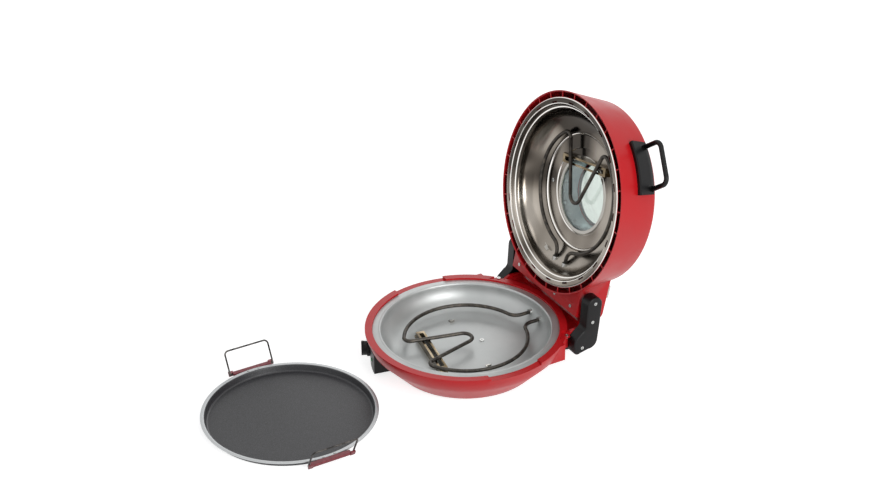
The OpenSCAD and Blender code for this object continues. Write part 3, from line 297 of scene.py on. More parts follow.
def fine_copy(node):
    """A copy of a CAD node whose split faces are joined, so that its curves shade smoothly."""
    mesh = NODES[node].data.copy()
    bm = bmesh.new()
    bm.from_mesh(mesh)
    bmesh.ops.remove_doubles(bm, verts=bm.verts, dist=SPLIT_GAP)
    flat = [e for e in bm.edges if len(e.link_faces) == 2 and e.calc_face_angle(1.0) < FLAT_ANGLE]
    bmesh.ops.dissolve_edges(bm, edges=flat, use_verts=False)
    bm.to_mesh(mesh)
    bm.free()
    piece = smooth(link(node + "_fine", mesh), MACHINED)
    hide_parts(node)
    return piece


def lathe(name, line, turns):
    """A closed line of (radius, height) points, in millimetres, turned about Z."""
    bm = bmesh.new()
    rings = []
    for radius, height in line:
        if radius < ON_AXIS:
            rings.append([bm.verts.new((0, 0, height * MM))])
            continue
        rings.append([bm.verts.new((radius * MM * math.cos(2 * math.pi * i / turns),
                                    radius * MM * math.sin(2 * math.pi * i / turns), height * MM))
                      for i in range(turns)])
    for low, high in zip(rings, rings[1:]):
        if len(low) == len(high) == 1:
            continue
        for i in range(turns):
            j = (i + 1) % turns
            if len(low) == 1:
                bm.faces.new((low[0], high[i], high[j]))
            elif len(high) == 1:
                bm.faces.new((low[j], low[i], high[0]))
            else:
                bm.faces.new((low[i], high[i], high[j], low[j]))
    bmesh.ops.remove_doubles(bm, verts=bm.verts, dist=SPLIT_GAP / 2)
    bmesh.ops.recalc_face_normals(bm, faces=bm.faces)
    return made_of(bm, name)


def bridged(bm, loops):
    """Joins each closed loop of corners to the next with faces, and caps the two ends."""
    for first, second in zip(loops, loops[1:]):
        for i in range(len(first)):
            j = (i + 1) % len(first)
            bm.faces.new((first[i], first[j], second[j], second[i]))
    bm.faces.new(loops[0][::-1])
    bm.faces.new(loops[-1])
    bmesh.ops.recalc_face_normals(bm, faces=bm.faces)


def rounded(points, steps=6):
    """A line with each inner corner (x, y, radius) turned into an arc."""
    out = [Vector(points[0][:2])]
    for before, corner, after in zip(points, points[1:], points[2:]):
        at = Vector(corner[:2])
        radius = corner[2] if len(corner) > 2 else 0
        to_before = Vector(before[:2]) - at
        to_after = Vector(after[:2]) - at
        half = to_before.angle(to_after) / 2
        if radius <= 0 or abs(half - math.pi / 2) < STRAIGHT:
            out.append(at)
            continue
        # An arc takes less than half of each side, so that two arcs never meet
        reach = min(radius / math.tan(half), to_before.length * 0.49, to_after.length * 0.49)
        radius = reach * math.tan(half)
        to_middle = (to_before.normalized() + to_after.normalized()).normalized()
        middle = at + to_middle * radius / math.sin(half)
        first = at + to_before.normalized() * reach - middle
        last = at + to_after.normalized() * reach - middle
        sweep = first.angle_signed(last)
        out += [middle + Matrix.Rotation(-sweep * i / steps, 2) @ first for i in range(steps + 1)]
    out.append(Vector(points[-1][:2]))
    return out


def thickened(line, thickness):
    """The line and its copy moved by the thickness to its left, as one closed loop."""
    side = []
    for i, at in enumerate(line):
        before = (at - line[i - 1]).normalized() if i else (line[1] - at).normalized()
        after = (line[i + 1] - at).normalized() if i < len(line) - 1 else before
        way = (before + after).normalized()
        left = Vector((-way.y, way.x))
        side.append(at + left * thickness / max(MITRE, left.dot(Vector((-before.y, before.x)))))
    return list(line) + side[::-1] + [line[0]]


def arc(centre, rx, ry, a0, a1, steps):
    """Points of an ellipse's arc, for a line of (radius, height)."""
    angles = [math.radians(a0 + (a1 - a0) * i / steps) for i in range(steps + 1)]
    return [Vector((centre[0] + rx * math.cos(a), centre[1] + ry * math.sin(a))) for a in angles]


def cylinder(name, radius, depth, turns=96):
    """A plain cutter about Z, in millimetres, with its middle at the origin."""
    bm = bmesh.new()
    bmesh.ops.create_cone(bm, cap_ends=True, segments=turns, radius1=radius * MM,
                          radius2=radius * MM, depth=depth * MM)
    return made_of(bm, name)


def sector(name, r_in, r_out, low, high, angle, steps=6):
    """A closed part of a flat ring, from angle 0 to the angle in degrees."""
    bm = bmesh.new()
    corners = ((r_in, low), (r_out, low), (r_out, high), (r_in, high))
    columns = []
    for i in range(steps + 1):
        a = math.radians(angle) * i / steps
        columns.append([bm.verts.new((r * MM * math.cos(a), r * MM * math.sin(a), z * MM))
                        for r, z in corners])
    bridged(bm, columns)
    return made_of(bm, name)


def joined(pieces):
    """Makes one object of several."""
    name = pieces[0].name
    bm = bmesh.new()
    for piece in pieces:
        bm.from_mesh(piece.data)
        bpy.data.objects.remove(piece)
    return made_of(bm, name)


def cut(piece, cutters):
    """Cuts each cutter out of the piece and removes the cutters."""
    for tool in cutters:
        hole = piece.modifiers.new("hole", "BOOLEAN")
        hole.operation = "DIFFERENCE"
        hole.solver = "EXACT"
        hole.object = tool
    bpy.context.view_layer.update()
    baked(piece)
    for tool in cutters:
        bpy.data.objects.remove(tool)
    return piece


# Helpers for materials


def linear(hex_colour):
    """An sRGB hex colour as linear RGBA."""
    parts = [int(hex_colour[i:i + 2], 16) / 255 for i in (1, 3, 5)]
    return tuple(p / 12.92 if p <= 0.04045 else ((p + 0.055) / 1.055) ** 2.4
                 for p in parts) + (1.0,)


def add(tree, kind, values=(), links=(), **options):
    """Adds a node with its options and sockets' values, and links sockets to others' outputs."""
    made = tree.nodes.new(kind)
    for key, value in options.items():
        setattr(made, key, value)
    for key, value in dict(values).items():
        made.inputs[key].default_value = value
    for key, source in dict(links).items():
        tree.links.new(source, made.inputs[key])
    return made


def surface(name, sockets, cloud=(), tone=(), shine=(), dimples=()):
    """A material that starts from its shader's plain sockets. The cloud, (size in mm, detail), is
    a noise that wanders between the tone's colours and between the shine's roughnesses, each a row
    of (position, value). The dimples, (size in mm, detail, depth in mm, strength), are a bump."""
    material = bpy.data.materials.new(name)
    material.use_nodes = True
    tree = material.node_tree
    shader = tree.nodes[SHADER]
    for key, value in sockets.items():
        shader.inputs[key].default_value = linear(value) if key == "Base Color" else value
    for label, pattern in (("cloud", cloud), ("dimples", dimples)):
        if pattern:
            place = add(tree, "ShaderNodeTexCoord").outputs["Object"]
            add(tree, "ShaderNodeTexNoise", {"Scale": 1 / (pattern[0] * MM), "Detail": pattern[1]},
                {"Vector": place}, name=label)
    for label, socket, stops in (("tone", "Base Color", tone), ("shine", "Roughness", shine)):
        if not stops:
            continue
        band = add(tree, "ShaderNodeValToRGB", {}, {"Fac": tree.nodes["cloud"].outputs["Fac"]},
                   name=label)
        elements = band.color_ramp.elements
        while len(elements) < len(stops):
            elements.new(0.5)
        for element, (position, value) in zip(elements, stops):
            element.position = position
            element.color = linear(value) if label == "tone" else (value, value, value, 1)
        tree.links.new(band.outputs["Color"], shader.inputs[socket])
    if dimples:
        relief = add(tree, "ShaderNodeBump", {"Distance": dimples[2] * MM, "Strength": dimples[3]},
                     {"Height": tree.nodes["dimples"].outputs["Fac"]})
        tree.links.new(relief.outputs["Normal"], shader.inputs["Normal"])
    return material


def laid_over(tree, mask, colour):
    """Lays a plain colour over the material's tone where the mask is 1."""
    both = add(tree, "ShaderNodeMix", {MIX_B: linear(colour)},
               {"Factor": mask, MIX_A: tree.nodes["tone"].outputs["Color"]}, data_type="RGBA")
    tree.links.new(both.outputs[MIX_OUT], tree.nodes[SHADER].inputs["Base Color"])


def seen_plainly(tree):
    """1 for a ray from the camera, off a mirror or through glass, and 0 for light on things."""
    path = add(tree, "ShaderNodeLightPath")
    total = path.outputs["Is Camera Ray"]
    for way in ("Is Glossy Ray", "Is Transmission Ray"):
        total = add(tree, "ShaderNodeMath", {}, {0: total, 1: path.outputs[way]},
                    operation="MAXIMUM").outputs["Value"]
    return total


def placed_in(tree, matrix):
    """Where a point lies in the frame that the matrix places, as a vector socket."""
    where = add(tree, "ShaderNodeTexCoord").outputs["Object"]
    back = matrix.inverted()
    return add(tree, "ShaderNodeMapping",
               {"Location": back.to_translation(), "Rotation": back.to_euler()},
               {"Vector": where}).outputs["Vector"]


def around(tree, matrix):
    """The distance from the Z axis of the frame that the matrix places, in metres, as a socket."""
    flat = add(tree, "ShaderNodeVectorMath", {1: (1, 1, 0)}, {0: placed_in(tree, matrix)},
               operation="MULTIPLY")
    return add(tree, "ShaderNodeVectorMath", {}, {0: flat.outputs["Vector"]},
               operation="LENGTH").outputs["Value"]


def rings(tree, radius, bands, soft):
    """A mask that is 1 inside each band of radii, with soft edges, as a socket; all in metres."""
    total = None
    for low, high in bands:
        middle, half = (low + high) / 2, (high - low) / 2
        off = add(tree, "ShaderNodeMath", {1: middle}, {0: radius}, operation="SUBTRACT")
        far = add(tree, "ShaderNodeMath", {}, {0: off.outputs["Value"]}, operation="ABSOLUTE")
        one = add(tree, "ShaderNodeMapRange",
                  {"From Min": half, "From Max": half + soft, "To Min": 1.0, "To Max": 0.0},
                  {"Value": far.outputs["Value"]}).outputs["Result"]
        total = one if total is None else add(tree, "ShaderNodeMath", {}, {0: total, 1: one},
                                              operation="MAXIMUM").outputs["Value"]
    return total


# The materials, each named for what the real one is


def red_enamel():
    """Powder enamel on pressed steel: satin, so that it keeps its red, with worn patches."""
    # The real peel is about 1 mm across, and is drawn at twice that so that it shows
    return surface("red_powder_enamel",
                   {"IOR": 1.5, "Specular IOR Level": 0.32, "Coat Weight": 0.08,
                    "Coat Roughness": 0.15},
                   cloud=(45, 3.0), tone=((0.0, "#B81018"), (1.0, chosen("finish").enamel)),
                   shine=((0.3, 0.36), (0.7, 0.46)), dimples=(2.2, 1.0, 0.02, 0.4))


def ear_enamel():
    """Thin stove enamel on the ears: darker and duller, with rubbed spots."""
    return surface("maroon_stove_enamel", {"IOR": 1.5, "Roughness": 0.42}, cloud=(6, 4.0),
                   tone=((0.35, chosen("finish").ear_enamel), (0.72, "#87363F")),
                   dimples=(6, 4.0, 0.03, 0.4))


def black_enamel():
    """Matt black enamel on the bottom plate: it hardly shines, and its grit shows."""
    return surface("matt_black_enamel", {"Base Color": "#202021", "Roughness": 0.6},
                   dimples=(1.5, 2.0, 0.04, 0.5))


def moulded_nylon():
    """Glass-filled nylon from a spark-eroded mould: black, with a fine grain that dulls it."""
    # The mould's grain is about 0.3 mm, drawn coarser so that it shows
    return surface("moulded_black_nylon", {"IOR": 1.53, "Specular IOR Level": 0.22},
                   cloud=(30, 2.0), tone=((0.3, chosen("finish").plastic), (0.75, "#131314")),
                   shine=((0.3, 0.36), (0.7, 0.46)), dimples=(0.9, 1.0, 0.03, 0.6))


def satin_aluminium():
    """Pressed aluminised steel with a satin face: it blurs what it mirrors, with cloudy stains."""
    return surface("satin_aluminised_steel", {"Metallic": 0.6}, cloud=(60, 3.0),
                   tone=((0.3, "#AEB1B0"), (0.7, chosen("finish").liner)),
                   shine=((0.3, 0.4), (0.75, 0.5)), dimples=(0.8, 2.0, 0.01, 0.5))


def polished_steel():
    """Spun stainless steel: painted highlights along its beads, and a painted dark reflection that darkens it
    towards the lid's front.
    """
    liner = chosen("liner")
    material = surface("polished_stainless_steel", {"Metallic": 1.0}, cloud=(85, 1.0),
                       tone=((0.36, "#3E3934"), (0.48, "#6E675F"),
                             (0.58, chosen("finish").lid_liner), (0.7, "#A29B92")),
                       shine=((0.3, 0.16), (0.8, 0.26)))
    tree = material.node_tree
    # Painted dark reflection: darker towards the lid's front, which is its top when it stands open
    reflection_lean = 0.12
    apart = add(tree, "ShaderNodeSeparateXYZ", {}, {"Vector": placed_in(tree, lid_frame())})
    painted_reflection = add(tree, "ShaderNodeMapRange",
                {"From Min": -liner.lid_edge, "From Max": liner.lid_edge, "To Min": -reflection_lean,
                 "To Max": reflection_lean}, {"Value": apart.outputs["Y"]})
    amount = add(tree, "ShaderNodeMath", {}, {0: tree.nodes["cloud"].outputs["Fac"],
                                              1: painted_reflection.outputs["Result"]}, operation="ADD")
    tree.links.new(amount.outputs["Value"], tree.nodes["tone"].inputs["Fac"])
    # Painted highlights along the beads: where each band starts and ends, in millimetres from each bead's radius
    painted_highlights = ((liner.lid_edge, -0.8, 1.0), (liner.lid_step, 0.2, 0.8), (liner.lid_dish, 0.2, 1.4),
              (liner.lid_ridge, -2.2, -1.2), (liner.well, 0.2, 0.8))
    bands = [(radius + low * MM, radius + high * MM) for radius, low, high in painted_highlights]
    fade = 0.6 * MM
    # Lays the painted highlights over the tone as near-white
    laid_over(tree, rings(tree, around(tree, lid_frame()), bands, fade), "#F2EFEA")
    return material


def bright_steel():
    """Nickel-plated small pressings, with a polish that varies from spot to spot."""
    return surface("plated_bright_steel", {"Metallic": 1.0, "Base Color": "#A5A29C"},
                   cloud=(5, 2.0), shine=((0.3, 0.14), (0.7, 0.26)))


def tinted_steel():
    """Bright steel that the heater has tinted from straw to brown."""
    return surface("heat_tinted_steel", {"Metallic": 1.0, "Roughness": 0.22}, cloud=(26, 2.0),
                   tone=((0.3, "#4E4436"), (0.5, "#7A6C55"), (0.7, "#A29580")),
                   dimples=(1.2, 2.0, 0.01, 0.4))


def brushed_steel():
    """Plain cold-rolled steel, lightly brushed: grey, with duller and brighter patches."""
    return surface("cold_rolled_steel", {"Metallic": 1.0, "Base Color": "#A9A9A7"},
                   cloud=(4, 3.0), shine=((0.3, 0.25), (0.7, 0.4)))


def zinc_screw():
    """Zinc-plated screws: pale, with the plating's spangle."""
    return surface("zinc_plated_steel", {"Metallic": 1.0, "Roughness": 0.27}, cloud=(2.5, 2.0),
                   tone=((0.3, "#9FA09F"), (0.7, "#C8C9C6")))


def heater_tube():
    """Nickel-alloy heater sheath, oxidised dark by its first heats, with patchy brown bloom."""
    return surface("oxidised_nickel_sheath", {"Metallic": 0.75}, cloud=(9, 4.0),
                   tone=((0.3, "#34312E"), (0.55, chosen("finish").heater), (0.8, "#6A6257")),
                   shine=((0.3, 0.32), (0.7, 0.5)), dimples=(0.7, 2.0, 0.02, 0.5))


def blue_grey_steel():
    """Blued steel of the tunnel between the glasses."""
    return surface("blued_steel", {"Metallic": 0.8, "Roughness": 0.35}, cloud=(30, 2.0),
                   tone=((0.3, "#8799A0"), (0.7, "#A9B7BB")))


def brass_metal():
    """Machined brass: yellow, and slightly tarnished in spots."""
    return surface("machined_brass", {"Metallic": 1.0, "Roughness": 0.3}, cloud=(3, 2.0),
                   tone=((0.3, "#B08C4A"), (0.7, "#CFAE68")))


def moulded_rubber():
    """Black nitrile rubber with a dusty bloom."""
    return surface("nitrile_rubber", {"Roughness": 0.8}, cloud=(4, 3.0),
                   tone=((0.3, "#1E1E1E"), (0.75, "#333333")), dimples=(4, 3.0, 0.05, 0.5))


def pale_plastic():
    """Pale moulded polypropylene, and the paint of the dial's marks."""
    return surface("pale_polypropylene", {"Roughness": 0.45}, cloud=(8, 2.0),
                   tone=((0.3, "#C9C7C0"), (0.7, "#DAD9D4")))


def lamp_plastic(name, colour):
    """Tinted acrylic of a pilot lamp, which is off, with facets that glint."""
    return surface(name, {"Base Color": colour, "Roughness": 0.15, "IOR": 1.49,
                          "Coat Weight": 0.5}, dimples=(1.4, 0.0, 0.1, 0.5))


def ceramic_body():
    """Glazed steatite: cream, with faint specks."""
    return surface("steatite", {"Roughness": 0.4}, cloud=(3, 3.0),
                   tone=((0.3, "#D9D3C3"), (0.7, "#EAE5D8")))


def wire_cover():
    """Silicone-coated glass braid on the leads, in two reds as its threads cross."""
    return surface("silicone_braid", {"Roughness": 0.6}, cloud=(1.2, 1.0),
                   tone=((0.35, "#8E3A30"), (0.65, "#B35145")))


def toughened_glass():
    """Toughened soda-lime glass with a breath of haze."""
    return surface("toughened_glass", {"Base Color": "#E0E6E2", "Transmission Weight": 1.0,
                                       "IOR": 1.52},
                   cloud=(40, 2.0), shine=((0.3, 0.0), (0.8, 0.06)))


def tray_coat():
    """Dark non-stick coat on the tray, finely speckled, and its bare rolled rim."""
    tray = chosen("tray")
    material = surface("non_stick_coat", {"Roughness": 0.4}, cloud=(1.1, 2.0),
                       tone=((0.45, "#232325"), (0.75, "#4A4A4E")),
                       dimples=(1.1, 2.0, 0.03, 0.3))
    tree = material.node_tree
    # The bare rim reaches past the tray's edge, and fades into the coat over a short way
    past, fade = 2 * MM, 0.4 * MM
    rim = rings(tree, around(tree, Matrix.Translation((0, TRAY_MIDDLE_Y, 0))),
                ((tray.radius - tray.rim, tray.radius + past),), fade)
    laid_over(tree, rim, "#B4B6B7")
    tree.links.new(rim, tree.nodes[SHADER].inputs["Metallic"])
    return material


def dark_wire():
    """Blackened spring wire, worn brighter where hands rub it."""
    return surface("blackened_wire", {"Metallic": 0.85, "Roughness": 0.38}, cloud=(10, 4.0),
                   tone=((0.4, "#292726"), (0.78, "#66625E")))


# The maker of each slot's material
MAKERS = {
    "red_enamel": red_enamel, "ear_enamel": ear_enamel, "black_steel": black_enamel,
    "satin_liner": satin_aluminium, "bright_liner": polished_steel, "bright_steel": bright_steel,
    "tinted_steel": tinted_steel, "blue_grey_steel": blue_grey_steel,
    "plate_steel": brushed_steel, "screw_steel": zinc_screw, "heater_tube": heater_tube,
    "brass": brass_metal, "rubber": moulded_rubber, "black_plastic": moulded_nylon,
    "pale_plastic": pale_plastic, "red_lamp": lambda: lamp_plastic("red_acrylic", "#C0281E"),
    "green_lamp": lambda: lamp_plastic("green_acrylic", "#1F9A50"), "ceramic": ceramic_body,
    "wire_cover": wire_cover, "window_glass": toughened_glass, "tray_coat": tray_coat,
    "dark_wire": dark_wire,
}
FINISHES = {}


def finish_for(slot):
    """The material of a slot, made once."""
    if slot not in FINISHES:
        FINISHES[slot] = MAKERS[slot]()
    return FINISHES[slot]


def dressed(piece, slot, body):
    """Gives a piece its material and slot, and lets it ride on its body."""
    piece.data.materials.clear()
    piece.data.materials.append(finish_for(slot))
    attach(piece, body)
    return piece


# Operators, one for each group of pieces


class PIZZA_OT_stage(bpy.types.Operator):
    """Makes the floor, the lights and the camera"""
    bl_idname = "pizza.stage"
    bl_label = "Stage"

    # Each lamp's name, place and target in metres, size in metres and power in watts
    lamps = (("key", (3.4, 0.2, 1.6), (0, 0, 0.25), 1.8, 84),
             ("fill", (0.4, -3.6, 1.6), (0, 0, 0.2), 2.4, 10),
             ("top", (0.6, 0.6, 3.0), (0, 0.0, 0.1), 1.6, 10),
             ("back", (-2.6, 2.0, 1.4), (0, 0.1, 0.2), 1.8, 14))
    # The floor lies a little under the feet, so that the two don't flicker
    floor_gap = 0.2 * MM
    sensor_width = 36
    view_depth = 50
    daylight = (0.97, 0.98, 1.0, 1)
    daylight_strength = 0.34

    def execute(self, context):
        stage = chosen("stage")
        self.floor(stage)
        self.world(context.scene)
        self.camera(context.scene, stage)
        for lamp in self.lamps:
            self.lamp(*lamp)
        context.scene.view_settings.view_transform = "Standard"
        return {"FINISHED"}

    def floor(self, stage):
        mesh = bpy.data.meshes.new("floor")
        half = stage.floor_size / 2
        mesh.from_pydata([(-half, -half, 0), (half, -half, 0), (half, half, 0), (-half, half, 0)],
                         [], [(0, 1, 2, 3)])
        floor = link("floor", mesh)
        floor.location.z = min(0.0, CAD_BOX[0][2]) - self.floor_gap
        floor.data.materials.append(self.floor_material(stage))

    def floor_material(self, stage):
        """A white sweep that takes shadows, and is plain white to the camera and in mirrors."""
        material = surface("white_floor", {"Base Color": "#D4D4D4", "Roughness": 0.9,
                                           "Specular IOR Level": 0.0,
                                           "Emission Color": (1, 1, 1, 1)})
        tree = material.node_tree
        glow = add(tree, "ShaderNodeMath", {1: stage.floor_glow}, {0: seen_plainly(tree)},
                   operation="MULTIPLY")
        tree.links.new(glow.outputs["Value"], tree.nodes[SHADER].inputs["Emission Strength"])
        return material

    def world(self, scene):
        """Soft daylight on things, and plain white to the camera, in mirrors and through glass."""
        scene.world = bpy.data.worlds.new("studio")
        scene.world.use_nodes = True
        tree = scene.world.node_tree
        light = tree.nodes["Background"]
        light.inputs["Color"].default_value = self.daylight
        light.inputs["Strength"].default_value = self.daylight_strength
        white = add(tree, "ShaderNodeBackground", {"Color": (1, 1, 1, 1), "Strength": 1.0})
        either = add(tree, "ShaderNodeMixShader", {}, {0: seen_plainly(tree),
                                                       1: light.outputs["Background"],
                                                       2: white.outputs["Background"]})
        tree.links.new(either.outputs["Shader"], tree.nodes["World Output"].inputs["Surface"])

    def camera(self, scene, stage):
        away = Vector((math.sin(stage.azimuth) * math.cos(stage.elevation),
                       -math.cos(stage.azimuth) * math.cos(stage.elevation),
                       math.sin(stage.elevation)))
        camera = bpy.data.objects.new("camera", bpy.data.cameras.new("camera"))
        scene.collection.objects.link(camera)
        camera.location = Vector((0, 0, stage.target_height)) + away * stage.distance
        look = (-away).to_track_quat("-Z", "Y").to_matrix().to_4x4()
        camera.rotation_euler = (look @ Matrix.Rotation(stage.roll, 4, "Z")).to_euler()
        camera.data.lens = stage.lens
        camera.data.sensor_width = self.sensor_width
        camera.data.shift_x = stage.shift_x
        camera.data.shift_y = stage.shift_y
        camera.data.clip_end = self.view_depth
        scene.camera = camera

    def lamp(self, name, place, target, size, watts):
        light = bpy.data.lights.new(name, "AREA")
        light.shape = "SQUARE"
        light.size = size
        light.energy = watts
        lamp = bpy.data.objects.new(name, light)
        bpy.context.scene.collection.objects.link(lamp)
        lamp.location = place
        lamp.rotation_euler = (Vector(target) - Vector(place)).to_track_quat("-Z", "Y").to_euler()


class PIZZA_OT_finishes(bpy.types.Operator):
    """Gives every CAD part its finish"""
    bl_idname = "pizza.finishes"
    bl_label = "Finishes"

    def execute(self, context):
        for node, slot in SLOTS.items():
            mesh = NODES[node].data
            mesh.materials.clear()
            mesh.materials.append(finish_for(slot))
        return {"FINISHED"}


class PIZZA_OT_curved(bpy.types.Operator):
    """Shades the curved metal and plastic parts smoothly"""
    bl_idname = "pizza.curved"
    bl_label = "Curved parts"

    # Nodes that show and have curved faces, apart from those with a piece of their own
    nodes = ("base_shell", "lid_shell", "lower_element", "upper_element", "lower_bushes",
             "upper_bushes", "handle_mount", "handle_bow", "handle_screws", "control_housing",
             "control_dial", "dial_shaft", "lamp_red", "lamp_green", "rubber_feet", "rear_feet",
             "rear_stand", "arm_screws", "panel_screws", "ledge_screws", "bottom_screws",
             "liner_floor_screw", "liner_screws", "lower_support_bar", "upper_support_bar",
             "lower_bar_screws", "upper_bar_screws", "window_ring", "window_tunnel",
             "outer_bezel", "inner_glass", "outer_glass", "bail_left", "bail_right",
             "tray_ears", "tray_rivets", "hinge_pins", "lid_hinge_bushes", "bottom_plate")

    def execute(self, context):
        for node in self.nodes:
            dressed(fine_copy(node), SLOTS[node], BODIES[node])
        return {"FINISHED"}


class PIZZA_OT_liners(bpy.types.Operator):
    """Spins the two liners with their beads, steps and slots"""
    bl_idname = "pizza.liners"
    bl_label = "Liners"

    # The beads and bends of the pressed sheets, as millimetres outwards from the radius that
    # each one belongs to, and millimetres up from its level
    base_bead = ((0.25, -1.4), (1.0, 0.2), (2.2, 1.0), (3.5, 0.8), (4.6, 0.0), (6.0, -0.2))
    base_flange = ((-0.6, -0.2), (0.0, -0.35))
    lid_roll = ((0.0, 1.5), (-0.3, 0.95), (-1.2, 0.6), (-2.6, 0.5), (-3.8, 0.6), (-4.8, 0.9))
    lid_bend = ((1.6, 0.9), (0.7, 1.2), (0.1, 2.2), (-0.4, 3.6), (-1.6, 4.8))
    lid_lip = ((2.4, 7.6), (1.3, 7.8), (0.2, 8.6), (-0.6, 9.8), (-1.6, 11.4))
    lid_rib = ((0.6, -2.7), (-0.8, -2.6), (-1.8, -1.6), (-2.6, -0.4), (-4.0, 0.0))
    lid_well = ((1.5, 0.0), (0.0, 1.9))
    # The radius and the depth below the dish's floor where the lid's sheet ends, inside the part
    # that the porthole takes away, and the length of the porthole's cutter
    lid_middle = (40, 2)
    porthole_cut = 60
    # Where the slots lie in the lid liner's flange, outwards from its step, how low and high
    # their cutters reach, and how far the first is turned, as a share of their spacing
    slot_band = (1.1, 4.3)
    slot_cut = (-2, 3)
    slot_turn = 0.4

    def execute(self, context):
        liner = chosen("liner")
        self.base_liner(liner)
        self.lid_liner(liner)
        return {"FINISHED"}

    def bend(self, offsets, radius, level=0.0):
        """The points of one bead or bend."""
        return [Vector((radius + out, level + up)) for out, up in offsets]

    def base_liner(self, liner):
        floor, rim = liner.base_floor / MM, liner.base_rim / MM
        flat_r, wall_r = liner.base_flat / MM, liner.base_wall / MM
        bead_h = 3
        wall_top = rim - bead_h
        line = [Vector((0, floor)), Vector((flat_r / 2, floor))]
        line += arc((flat_r, wall_top), wall_r - flat_r, wall_top - floor, -90, 0, 28)
        line += self.bend(self.base_bead, wall_r, rim)
        line += self.bend(self.base_flange, liner.base_edge / MM, rim)
        piece = lathe("base_liner_spun", thickened(line, -liner.sheet / MM), liner.turns)
        smooth(piece, SPUN)
        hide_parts("base_liner")
        dressed(piece, "satin_liner", "base")

    def lid_liner(self, liner):
        step_r, dish_r, ridge_r = liner.lid_step / MM, liner.lid_dish / MM, liner.lid_ridge / MM
        depth = liner.lid_depth / MM
        # The dish's arc: its end inside the lip, its middle's depth and how far it stops short
        lip_w, arc_top, arc_gap = 2.5, 12, 14
        line = self.bend(self.lid_roll, liner.lid_edge / MM)
        line += self.bend(self.lid_bend, step_r) + self.bend(self.lid_lip, dish_r)
        line += arc((ridge_r, arc_top), dish_r - lip_w - ridge_r, depth - arc_gap, 2, 88, 30)
        line += self.bend(self.lid_rib, ridge_r, depth)
        line += self.bend(self.lid_well, liner.well / MM, depth)
        line += self.bend((self.lid_middle,), 0, depth)
        # The dish is pressed deep, so its sheet is drawn thinner
        sheet = 0.75 * liner.sheet / MM
        piece = lathe("lid_liner_spun", thickened(line, sheet), liner.turns)
        slots = []
        low, high = self.slot_band
        for i in range(liner.slots):
            slot = sector("slot", step_r + low, step_r + high, *self.slot_cut, liner.slot_angle)
            turn = math.radians(360 * (i + self.slot_turn) / liner.slots)
            slots.append(placed(slot, Matrix.Rotation(turn, 4, "Z")))
        porthole = cylinder("porthole", liner.porthole / MM, self.porthole_cut)
        placed(porthole, Matrix.Translation((0, liner.porthole_shift, depth * MM)))
        cut(piece, [joined(slots), porthole])
        placed(piece, lid_frame())
        smooth(piece, SPUN)
        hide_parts("lid_liner")
        dressed(piece, "bright_liner", "lid")


class PIZZA_OT_arms(bpy.types.Operator):
    """Moulds the two black arms with their rounded edges and sunk screw holes"""
    bl_idname = "pizza.arms"
    bl_label = "Arms"

    # The arm's side view, in hundredths of its height from the hinge pin. Each arc has its
    # middle's y and z, its radius, the way an inset moves it (-1 inwards), its first and last
    # angle, and its steps. The heel is the corner between the last arc and the first
    arcs = ((2.73, 21.92, 15.15, -1, -5, 176, 20), (-25.35, -14.95, 10.61, 1, -5, -70, 8),
            (-22.32, -46.26, 15.66, -1, 125, 185, 8), (-28.89, -58.89, 8.59, -1, 185, 300, 12),
            (-6.16, -46.26, 16.67, -1, 262, 355, 12))
    heel = (13.94, -19.8)
    sinks = ((3.84, 24.95), (-0.91, -10.3), (-20.91, -55.96))
    # The small slope of the inner edge
    chamfer = 0.6 * MM

    def execute(self, context):
        arms = chosen("arms")
        for side, name in ((1, "right"), (-1, "left")):
            piece = self.arm(arms, name)
            if side < 0:
                piece.data.transform(Matrix.Scale(-1, 4, (1, 0, 0)))
                piece.data.flip_normals()
            smooth(piece, MOULDED)
            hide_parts("arm_cover_" + name)
            dressed(piece, "black_plastic", "base")
        return {"FINISHED"}

    def outline(self, arms, inset):
        """The arm's side view, drawn in by the inset, as (y, z) points."""
        unit = arms.height / 100
        points = []
        for y, z, radius, way, a0, a1, steps in self.arcs:
            reach = radius * unit + way * inset
            centre = (PIVOT.y + y * unit, PIVOT.z + z * unit)
            points += [tuple(point) for point in arc(centre, reach, reach, a0, a1, steps)]
        heel_y, heel_z = self.heel
        points.append((PIVOT.y + heel_y * unit - inset, PIVOT.z + heel_z * unit))
        return points

    def arm(self, arms, name):
        low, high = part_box("arm_cover_right")
        layers = [(low[0], self.chamfer), (low[0] + self.chamfer, 0)]
        for i in range(arms.steps + 1):
            a = math.radians(90) * i / arms.steps
            layers.append((high[0] - arms.rounding * (1 - math.sin(a)),
                           arms.rounding * (1 - math.cos(a))))
        bm = bmesh.new()
        bridged(bm, [[bm.verts.new((x, y, z)) for y, z in self.outline(arms, inset)]
                     for x, inset in layers])
        piece = made_of(bm, "arm_moulded_" + name)
        unit = arms.height / 100
        turn = Matrix.Rotation(math.radians(90), 4, "Y")
        sinks = []
        for y, z in self.sinks:
            sink = cylinder("sink", arms.sink_radius / MM, 2 * arms.sink_depth / MM, 32)
            place = Matrix.Translation((high[0], PIVOT.y + y * unit, PIVOT.z + z * unit))
            sinks.append(placed(sink, place @ turn))
        return cut(piece, [joined(sinks)])


